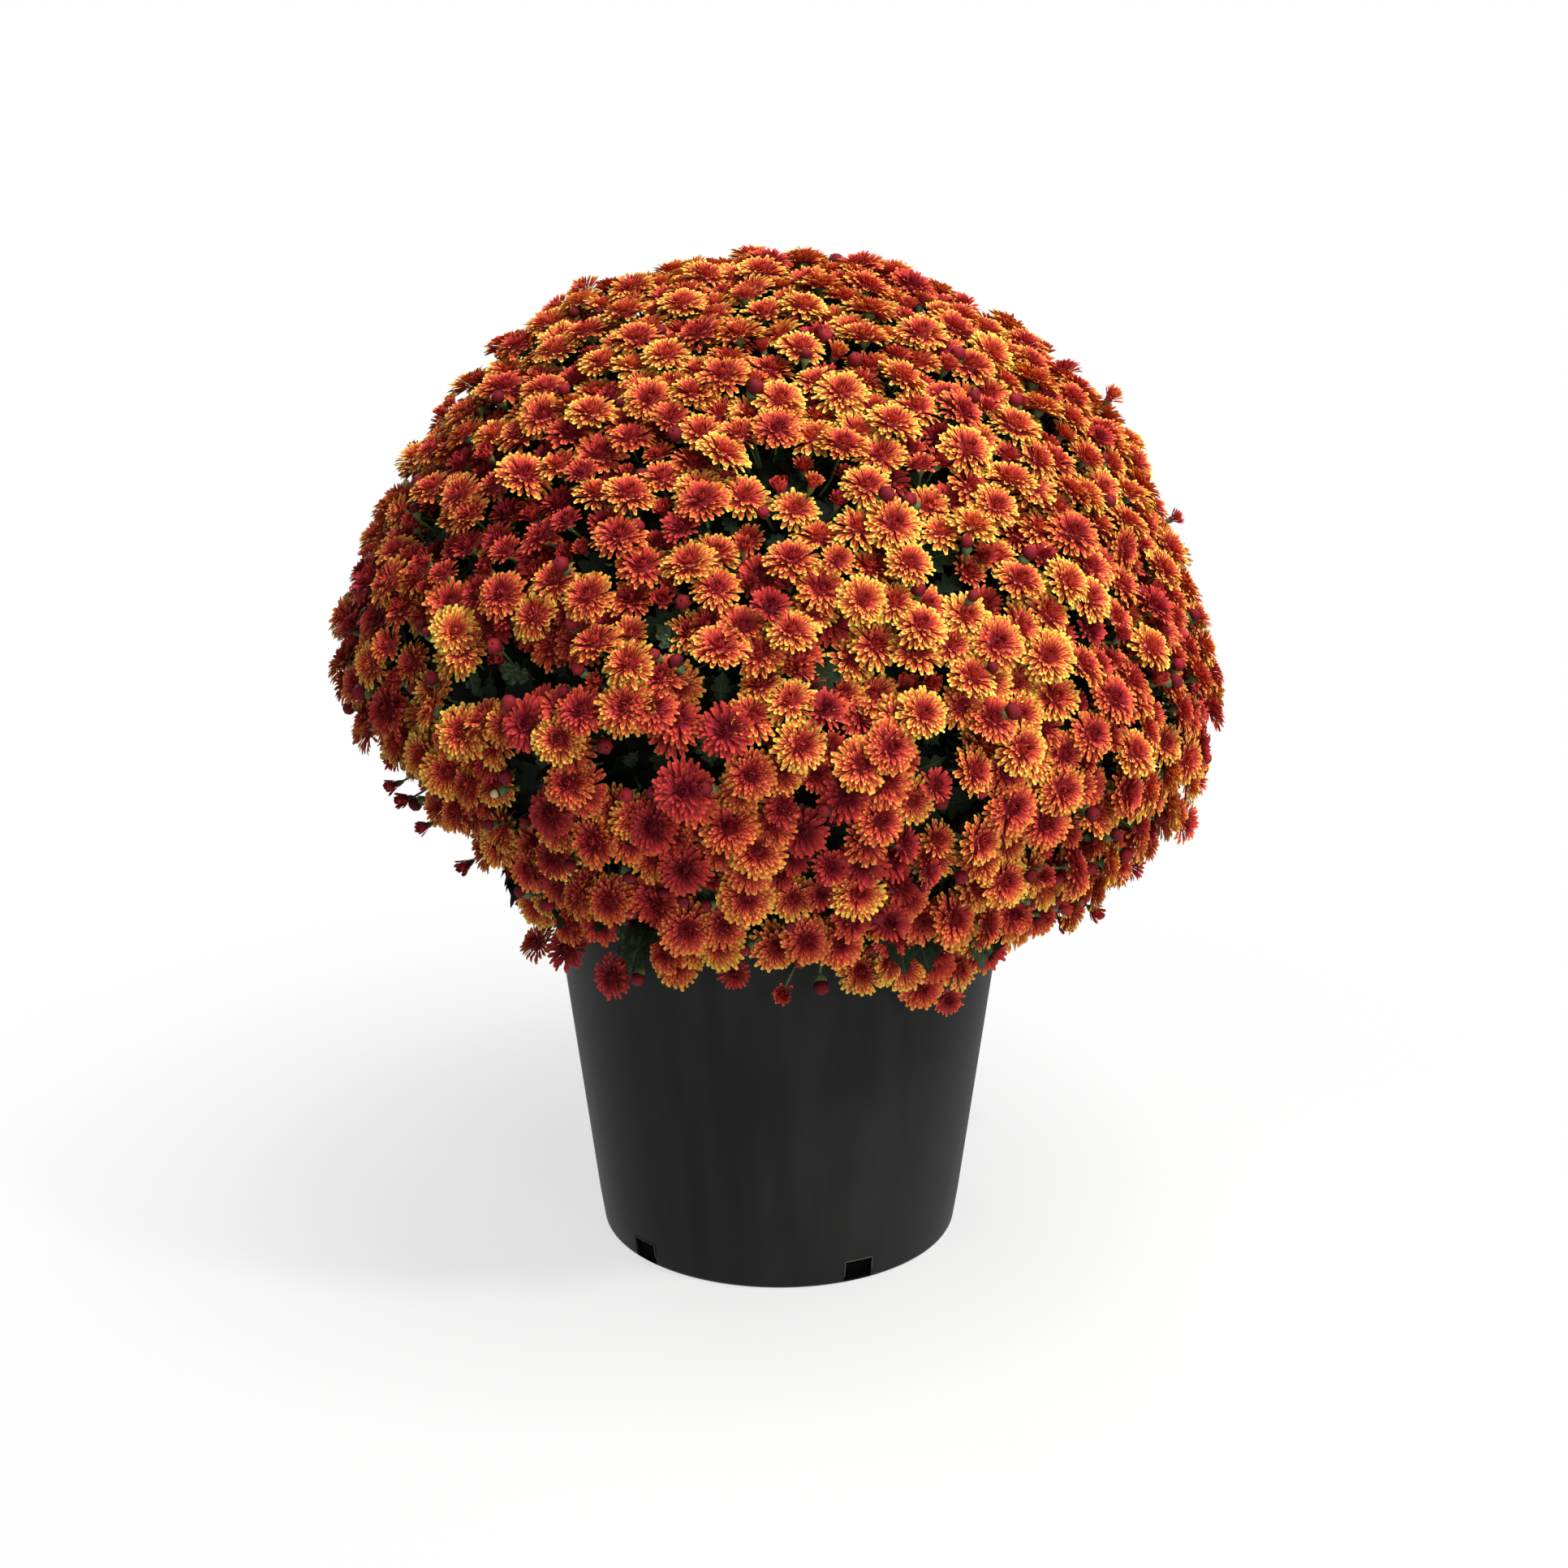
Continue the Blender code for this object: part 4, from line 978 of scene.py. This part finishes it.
# Steps of the rim band's lower edge, in mm out and up from its corner.
RIM_EDGE = [(-1.0, 0.9), (0, 2.2)]
UNDERSIDE_RING = 20 * MM
CUT_REACH = 20 * MM
SHARP_ANGLE = math.radians(32)
LIP_RADIUS = 0.42
LIP_END_RADIUS = 0.2
LIP_LOW = 5 * MM
LIP_RISE = 0.1 * MM
LIP_STEPS = 5
SOIL_SIDES = 120
SOIL_RINGS = 30
SOIL_GAP = 0.33 * MM
SOIL_EDGE_DROP = 3 * MM
SOIL_SINK = 2 * MM
SOIL_ROUGH = Vector((0.8, 0.8, 1.6)) * MM


def turned_shape(profile, sides):
    """A closed turned solid from (radius, height) pairs that start and end on the axis."""
    mesh = bmesh.new()
    rings = []
    for radius, height in profile:
        points = circle(radius, height, sides) if radius > 1e-7 else [(0, 0, height)]
        rings.append([mesh.verts.new(point) for point in points])
    for low, high in zip(rings, rings[1:]):
        for k in range(sides):
            n = (k + 1) % sides
            if len(low) == 1:
                mesh.faces.new((low[0], high[k], high[n]))
            elif len(high) == 1:
                mesh.faces.new((low[k], high[0], low[n]))
            else:
                mesh.faces.new((low[k], high[k], high[n], low[n]))
    bmesh.ops.recalc_face_normals(mesh, faces=mesh.faces)
    return mesh


def finish_shape(name, mesh, material):
    """A smooth object from a bmesh."""
    for face in mesh.faces:
        face.smooth = True
    data = bpy.data.meshes.new(name)
    mesh.to_mesh(data)
    mesh.free()
    return add_object(name, data, material)


def pot_radius(z):
    return POT_BASE_RADIUS + POT_TAPER * z


def arc(centre, radius, start, end, steps):
    """Points of a round corner, between angles in degrees."""
    x, z = centre
    angles = [math.radians(start + (end - start) * k / steps) for k in range(steps + 1)]
    return [(x + radius * math.cos(angle), z + radius * math.sin(angle)) for angle in angles]


def pot_profile():
    """The pot's outline, from the axis under the floor, up the wall, over the rim and back inside."""
    rim_low = POT_HEIGHT - RIM_DEPTH
    band = pot_radius(rim_low) + RIM_STEP
    top = pot_radius(POT_HEIGHT) + RIM_STEP
    inner = pot_radius(POT_HEIGHT) - POT_WALL
    profile = [(0, 0), (POT_BASE_RADIUS - FOOT_ROUND - UNDERSIDE_RING, 0)]
    profile += arc((POT_BASE_RADIUS - FOOT_ROUND, FOOT_ROUND), FOOT_ROUND, -90, -7, 6)
    for k in range(1, WALL_STEPS + 1):
        z = FOOT_ROUND + (rim_low - FOOT_ROUND) * k / WALL_STEPS
        profile.append((pot_radius(z), z))
    profile += [(band + out * MM, rim_low + up * MM) for out, up in RIM_EDGE]
    profile += arc((top - RIM_ROUND, POT_HEIGHT - RIM_ROUND), RIM_ROUND, 0, 90, 4)
    profile += [(inner + RIM_BEVEL, POT_HEIGHT), (inner, POT_HEIGHT - RIM_BEVEL)]
    return profile + [(pot_radius(POT_FLOOR) - POT_WALL, POT_FLOOR), (0, POT_FLOOR)]


def window_turns():
    """Turns that bring the pot's front to each of its drain windows."""
    angles = [WINDOW_FIRST + FULL_TURN * k / WINDOW_COUNT for k in range(WINDOW_COUNT)]
    return [Matrix.Rotation(angle, 4, "Z") for angle in angles]


def cut_windows(pot, material):
    low = Vector((-WINDOW_WIDTH / 2, -POT_BASE_RADIUS - CUT_REACH, WINDOW_SILL))
    high = Vector((WINDOW_WIDTH / 2, -WINDOW_INNER_RADIUS, WINDOW_HEIGHT))
    block = Matrix.LocRotScale((low + high) / 2, None, high - low)
    mesh = bmesh.new()
    for turn in window_turns():
        bmesh.ops.create_cube(mesh, size=1, matrix=turn @ block)
    cutter = finish_shape("cutter", mesh, material)
    change = pot.modifiers.new("windows", "BOOLEAN")
    change.operation = "DIFFERENCE"
    change.object = cutter
    change.solver = "EXACT"
    graph = bpy.context.evaluated_depsgraph_get()
    cut = bpy.data.meshes.new_from_object(pot.evaluated_get(graph))
    pot.modifiers.clear()
    pot.data = cut
    bpy.data.objects.remove(cutter, do_unlink=True)


def sharpen(item):
    """Smooth shading, with sharp edges where faces meet at a clear angle."""
    mesh = bmesh.new()
    mesh.from_mesh(item.data)
    for face in mesh.faces:
        face.smooth = True
    for edge in mesh.edges:
        if len(edge.link_faces) == 2:
            edge.smooth = edge.calc_face_angle(0) < SHARP_ANGLE
    mesh.to_mesh(item.data)
    mesh.free()


def make_pot(material):
    pot = finish_shape("pot_shell", turned_shape(pot_profile(), POT_SIDES), material)
    cut_windows(pot, material)
    sharpen(pot)
    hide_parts("pot")
    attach(pot, "root")


def make_window_lip_highlights(material):
    """A fine lip along the top and sides of each drain window, in a lighter copy of the pot's plastic: a
    painted highlight where the window edges catch the light.
    """
    half = WINDOW_WIDTH / 2
    top = (0, WINDOW_HEIGHT + LIP_RISE)
    corners = [(-half, LIP_LOW), (-half, WINDOW_HEIGHT), top, (half, WINDOW_HEIGHT), (half, LIP_LOW)]
    path = []
    for start, end in zip(np.array(corners), np.array(corners[1:])):
        for k in range(LIP_STEPS):
            across, z = start + (end - start) * k / LIP_STEPS
            path.append((across, -math.sqrt(pot_radius(z) ** 2 - across ** 2), z))
    paths = np.array([np.array(path) @ np.array(turn.to_3x3()).T for turn in window_turns()])
    radii = np.full((1, len(path)), LIP_RADIUS)
    radii[:, [0, -1]] = LIP_END_RADIUS
    pile = Pile()
    pile.add(*tubes(paths, radii, 6))
    lips = pile.piece("window_lip_highlights", material)
    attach(lips, "root")


def make_soil(material, rng):
    """Soil that fills the pot, with a rough crowned top."""
    low = POT_FLOOR + 0.3 * MM
    inset = POT_WALL + SOIL_GAP
    edge = pot_radius(SOIL_TOP) - inset
    profile = [(0, low), (pot_radius(low) - inset, low), (edge, SOIL_TOP - SOIL_EDGE_DROP)]
    for k in range(1, SOIL_RINGS + 1):
        share = k / SOIL_RINGS
        profile.append((edge * (1 - share), SOIL_TOP - SOIL_SINK + SOIL_CROWN * share))
    mesh = turned_shape(profile, SOIL_SIDES)
    for vert in mesh.verts:
        if vert.co.z > SOIL_TOP - SOIL_EDGE_DROP + MM / 2 and vert.co.xy.length < edge - MM:
            z, x, y = rng.uniform(-1, 1, 3)
            vert.co += Vector((x, y, z)) * SOIL_ROUGH
    soil = finish_shape("soil_fill", mesh, material)
    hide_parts("soil")
    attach(soil, "root")


# Materials.

WHITE = (1, 1, 1, 1)
# How bright the floor and the surroundings are where gloss shows them.
GLOSS_LIGHT = 0.5
WORLD_LIGHT = 0.15


class Nodes:
    """Adds shader nodes to a new material or world, and links them."""

    def __init__(self, block):
        block.use_nodes = True
        self.block = block
        self.tree = block.node_tree

    def put(self, socket, value):
        if isinstance(value, bpy.types.NodeSocket):
            self.tree.links.new(value, socket)
        else:
            socket.default_value = value

    def add(self, kind, inputs=None, **settings):
        node = self.tree.nodes.new("ShaderNode" + kind)
        for key, value in settings.items():
            setattr(node, key, value)
        for key, value in (inputs or {}).items():
            self.put(node.inputs[key], value)
        return node

    def math(self, operation, *values):
        return self.add("Math", dict(enumerate(values)), operation=operation).outputs[0]

    def fit(self, value, low, high, to_low=0.0, to_high=1.0, kind="LINEAR"):
        inputs = dict(enumerate((value, low, high, to_low, to_high)))
        return self.add("MapRange", inputs, interpolation_type=kind).outputs[0]

    def smooth(self, value, low, high, to_low=0.0, to_high=1.0):
        return self.fit(value, low, high, to_low, to_high, "SMOOTHSTEP")

    def ramp(self, value, stops):
        node = self.add("ValToRGB", {"Fac": value})
        points = node.color_ramp.elements
        while len(points) < len(stops):
            points.new(0.5)
        for point, (position, colour) in zip(points, stops):
            point.position = position
            point.color = (*colour, 1)
        return node.outputs["Color"]

    def noise(self, place, scale, detail, roughness=0.5, dimensions="3D"):
        inputs = {"Vector": place, "Scale": scale, "Detail": detail, "Roughness": roughness}
        return self.add("TexNoise", inputs, noise_dimensions=dimensions).outputs[0]

    def stretched(self, place, scales):
        return self.add("VectorMath", {0: place, 1: scales}, operation="MULTIPLY").outputs[0]

    def blend(self, share, first, second):
        """A colour between two others."""
        return self.add("Mix", {"Factor": share, 6: first, 7: second}, data_type="RGBA").outputs[2]

    def mixed(self, share, first, second):
        """A shader between two others."""
        return self.add("MixShader", {0: share, 1: first, 2: second}).outputs[0]

    def light(self, kind, colour, strength):
        return self.add(kind, {"Color": colour, "Strength": strength}).outputs[0]

    def place(self):
        return self.add("TexCoord").outputs["Object"]

    def chart(self):
        return self.add("UVMap", uv_map=CHART).outputs["UV"]

    def cells(self, chart, grid):
        """Column and row of the chart's cell, then the place across and along it."""
        both = self.add("SeparateXYZ", {"Vector": chart}).outputs
        scaled = [self.math("MULTIPLY", both[k], grid) for k in range(2)]
        return [self.math(operation, value) for operation in ("FLOOR", "FRACT") for value in scaled]

    def surface(self, colour, roughness, specular=0.5):
        """Sets the material's own shader."""
        shader = self.tree.nodes["Principled BSDF"]
        self.put(shader.inputs["Base Color"], colour)
        self.put(shader.inputs["Roughness"], roughness)
        self.put(shader.inputs["Specular IOR Level"], specular)
        return shader

    def bump(self, strength, distance, height, invert=False):
        inputs = {"Strength": strength, "Distance": distance, "Height": height}
        normal = self.add("Bump", inputs, invert=invert).outputs[0]
        self.put(self.tree.nodes["Principled BSDF"].inputs["Normal"], normal)

    def by_ray(self, output, lit, seen, glossy, share=1.0):
        """The camera sees a share of one shader over the lit one, and gloss shows another."""
        ray = self.add("LightPath").outputs
        camera = self.mixed(self.math("MULTIPLY", share, ray["Is Camera Ray"]), lit, seen)
        even = self.mixed(ray["Is Glossy Ray"], camera, glossy)
        self.put(self.tree.nodes[output].inputs["Surface"], even)


def petal_material():
    """Dark red at the base, red-orange along the middle, yellow margins and tip."""
    n = Nodes(bpy.data.materials.new("petal"))
    chart = n.chart()
    layer, tone, x, y = n.cells(chart, PETAL_GRID)
    across = n.fit(x, CELL_SIDE, 1 - CELL_SIDE)
    along = n.fit(y, CELL_END, 1 - CELL_END)
    edge = n.math("ABSOLUTE", n.math("MULTIPLY_ADD", across, 2.0, -1.0))
    edge = n.math("MULTIPLY", n.smooth(edge, 0.46, 0.96), n.smooth(along, 0.1, 0.6))
    yellow = n.math("MAXIMUM", edge, n.smooth(along, 0.76, 1.0))
    yellow = n.math("MULTIPLY", yellow, n.fit(tone, 0.0, 4.0, 0.2, 1.0))
    yellow = n.math("MULTIPLY", yellow, n.fit(layer, 2.0, 6.0, 1.0, 0.1))
    streaks = n.noise(n.stretched(chart, (230.0, 26.0, 1.0)), 1.0, 3.0, 0.6, "2D")
    vein = n.math("SUBTRACT", streaks, 0.5)
    total = n.math("MULTIPLY_ADD", along, 0.2, 0.15)
    for value, share in ((tone, 0.04), (layer, -0.03), (yellow, 0.52), (vein, 0.26)):
        total = n.math("MULTIPLY_ADD", value, share, total)
    colour = n.ramp(total, [
        (0.0, (0.075, 0.005, 0.009)),
        (0.2, (0.23, 0.014, 0.021)),
        (0.36, (0.46, 0.034, 0.031)),
        (0.5, (0.62, 0.092, 0.037)),
        (0.68, (0.69, 0.25, 0.045)),
        (0.84, (0.70, 0.42, 0.056)),
        (1.0, (0.73, 0.56, 0.088)),
    ])
    cream = n.math("MULTIPLY", n.math("GREATER_THAN", layer, 6.5), n.math("GREATER_THAN", tone, 5.5))
    n.surface(n.blend(cream, colour, (0.5, 0.42, 0.2, 1)), n.fit(along, 0.0, 1.0, 0.7, 0.55), 0.16)
    n.bump(0.25, 0.4 * MM, vein)
    return n.block


def leaf_material():
    """Dull grey-green with paler veins, and a tint for each cell of the chart; the darker cells and the
    near-black low end of the ramp are painted shade, taken by the leaves under and deep inside the heads.
    """
    n = Nodes(bpy.data.materials.new("leaf"))
    chart = n.chart()
    column, row, x, y = n.cells(chart, LEAF_GRID)
    side = n.math("ABSOLUTE", n.math("SUBTRACT", y, 0.5))
    tint_shade = n.math("MULTIPLY_ADD", row, 0.25, n.math("MULTIPLY", column, 0.07))
    rib = n.fit(side, 0.0, 0.022, 1.0, 0.0)
    slant = n.math("MULTIPLY_ADD", side, -1.1, x)
    wave = n.math("ABSOLUTE", n.math("SINE", n.math("MULTIPLY", slant, 22.0)))
    vein = n.math("MAXIMUM", rib, n.fit(wave, 0.0, 0.16, 0.75, 0.0))
    mottle = n.noise(chart, 42.0, 4.0, dimensions="2D")
    total = n.math("MULTIPLY_ADD", mottle, 0.5, n.math("MULTIPLY", tint_shade, 0.55))
    colour = n.ramp(total, [
        (0.15, (0.002, 0.004, 0.0015)),
        (0.4, (0.005, 0.009, 0.004)),
        (0.7, (0.014, 0.023, 0.010)),
        (1.0, (0.10, 0.135, 0.08)),
    ])
    pale = n.math("MULTIPLY", vein, n.fit(tint_shade, 0.0, 1.0, 0.1, 0.6))
    n.surface(n.blend(pale, colour, (0.07, 0.1, 0.05, 1)), 0.6, 0.15)
    n.bump(0.5, 0.8 * MM, vein, invert=True)
    return n.block


def stem_material():
    n = Nodes(bpy.data.materials.new("stem"))
    streaks = n.noise(n.chart(), 9.0, 4.0, dimensions="2D")
    n.surface(n.ramp(streaks, [
        (0.3, (0.045, 0.075, 0.022)),
        (0.55, (0.08, 0.13, 0.04)),
        (0.75, (0.14, 0.12, 0.05)),
    ]), 0.6)
    n.bump(0.3, 0.5 * MM, streaks)
    return n.block


def pot_material(name, highlight_gain):
    """Satin black moulded plastic with faint upright flow marks, dust and fine scuffs. A gain over 1 gives
    a lighter copy of it, a painted highlight.
    """
    n = Nodes(bpy.data.materials.new(name))
    place = n.place()
    flow = n.noise(n.stretched(place, (60.0, 60.0, 3.0)), 1.0, 5.0)
    cloud = n.noise(place, 9.0, 6.0)
    grain = n.noise(place, 900.0, 2.0)
    marks = n.math("MULTIPLY_ADD", cloud, 0.5, n.math("MULTIPLY", flow, 0.5))
    colour = n.ramp(marks, [
        (0.3, (0.0065 * highlight_gain, 0.0065 * highlight_gain, 0.0066 * highlight_gain)),
        (0.7, (0.0185 * highlight_gain, 0.0182 * highlight_gain, 0.018 * highlight_gain)),
    ])
    rough = n.math("MULTIPLY_ADD", cloud, 0.16, n.math("MULTIPLY", flow, 0.12))
    n.surface(colour, n.math("ADD", rough, 0.28), 0.18)
    n.bump(0.12, 0.6 * MM, n.math("MULTIPLY_ADD", grain, 0.35, flow))
    return n.block


def soil_material():
    """Crumbly dark soil, darker lower down."""
    n = Nodes(bpy.data.materials.new("potting_soil"))
    place = n.place()
    lumps = n.add("TexVoronoi", {"Scale": 260.0, "Vector": place}).outputs[0]
    height = n.add("SeparateXYZ", {"Vector": place}).outputs[2]
    # Darker towards the bottom of the pot.
    low_darkening = n.fit(height, 0.02, 0.2, 0.45, 1.0)
    colour = n.ramp(n.math("MULTIPLY", n.noise(place, 120.0, 6.0), low_darkening), [
        (0.3, (0.003, 0.0025, 0.002)),
        (0.55, (0.04, 0.024, 0.014)),
        (0.75, (0.11, 0.07, 0.04)),
    ])
    n.surface(colour, 0.95, 0.05)
    n.bump(0.9, 2 * MM, lumps)
    return n.block


def floor_material():
    """Pale floor that fades into the white surroundings away from the pot."""
    n = Nodes(bpy.data.materials.new("floor"))
    lit = n.surface((0.62, 0.62, 0.62, 1), 0.9).outputs[0]
    away = n.add("VectorMath", {0: n.place()}, operation="LENGTH").outputs["Value"]
    seen = n.light("Emission", WHITE, 1.0)
    glossy = n.light("Emission", WHITE, GLOSS_LIGHT)
    n.by_ray("Material Output", lit, seen, glossy, n.smooth(away, 0.12, 0.7, 0.68, 1.0))
    return n.block


# Stage, lights and camera.

# Round lights: place, height of the place on the pot's axis that each points at, size, energy in
# watts, colour, and whether gloss shows it.
Light = namedtuple("Light", "place height size energy colour glossy")
LIGHTS = {
    "key": Light((1.3, -1.18, 2.35), 0.36, 0.3, 60, (1.0, 0.98, 0.95), False),
    "fill": Light((1.4, -2.8, 1.1), 0.3, 1.6, 50, (1.0, 0.99, 0.97), False),
    "top": Light((0.6, -0.5, 2.6), 0.3, 1.4, 52, (1.0, 0.99, 0.97), True),
    "back": Light((-1.5, 2.4, 1.5), 0.34, 1.8, 26, (1.0, 1.0, 1.0), True),
}


def add_lights():
    for name, light in LIGHTS.items():
        data = bpy.data.lights.new(name, "AREA")
        data.shape = "DISK"
        data.size = light.size
        data.energy = light.energy
        data.color = light.colour
        item = bpy.data.objects.new(name, data)
        item.location = light.place
        ahead = Vector((0, 0, light.height)) - Vector(light.place)
        item.rotation_euler = ahead.to_track_quat("-Z", "Y").to_euler()
        item.visible_glossy = light.glossy
        bpy.context.scene.collection.objects.link(item)


def set_world():
    """White to the camera, grey to gloss, and dim as a light."""
    n = Nodes(bpy.data.worlds.new("studio"))
    lit = n.light("Background", WHITE, WORLD_LIGHT)
    seen = n.light("Background", WHITE, 1.0)
    glossy = n.light("Background", (0.8, 0.8, 0.8, 1), GLOSS_LIGHT)
    n.by_ray("World Output", lit, seen, glossy)
    bpy.context.scene.world = n.block
    bpy.context.scene.view_settings.view_transform = "Standard"


def add_floor():
    mesh = bmesh.new()
    bmesh.ops.create_grid(mesh, x_segments=2, y_segments=2, size=12)
    finish_shape("floor", mesh, floor_material())


def add_camera():
    data = bpy.data.cameras.new("camera")
    data.sensor_width = 36
    data.lens = data.sensor_width * CAMERA_FOCUS / (2 * PICTURE_MIDDLE)
    item = bpy.data.objects.new("camera", data)
    item.location = camera_place()
    item.rotation_euler = (CAMERA_TILT, 0, 0)
    bpy.context.scene.collection.objects.link(item)
    bpy.context.scene.camera = item


def spray_centres(sprays):
    """Direction of each spray of the part from the dome's centre."""
    boxes = [np.array(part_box(name)) for name in sprays]
    return unit(np.array([box.mean(axis=0) - DOME_CENTRE for box in boxes]))


# The whole scene.

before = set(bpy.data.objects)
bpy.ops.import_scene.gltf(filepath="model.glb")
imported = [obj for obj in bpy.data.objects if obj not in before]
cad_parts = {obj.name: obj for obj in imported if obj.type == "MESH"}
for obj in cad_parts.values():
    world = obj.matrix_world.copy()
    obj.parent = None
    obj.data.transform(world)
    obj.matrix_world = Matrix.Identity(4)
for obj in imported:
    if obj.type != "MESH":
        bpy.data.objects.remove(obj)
cad_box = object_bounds()
sprays = sorted(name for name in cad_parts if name.startswith("spray_"))
centres = spray_centres(sprays)
rng = np.random.default_rng(SEED)
petal = petal_material()

add_camera()
add_floor()
add_lights()
set_world()

gaps, radii = plan_gaps(rng)
blooms = Blooms(rng, gaps, radii, cad_box)
make_blooms(blooms, sprays, centres, petal, rng)
buds = plan_buds(rng, blooms, gaps, cad_box)
make_buds(buds, petal, rng)
make_leaves(plan_leaves(rng, gaps), leaf_material(), rng)
make_stems(blooms, buds, centres, stem_material(), rng)
make_pot(pot_material("pot_plastic", 1.0))
# The window lips take the pot's plastic made 4.5 times lighter: painted highlight along the window edges.
make_window_lip_highlights(pot_material("pot_lip_highlight", 4.5))
make_soil(soil_material(), rng)
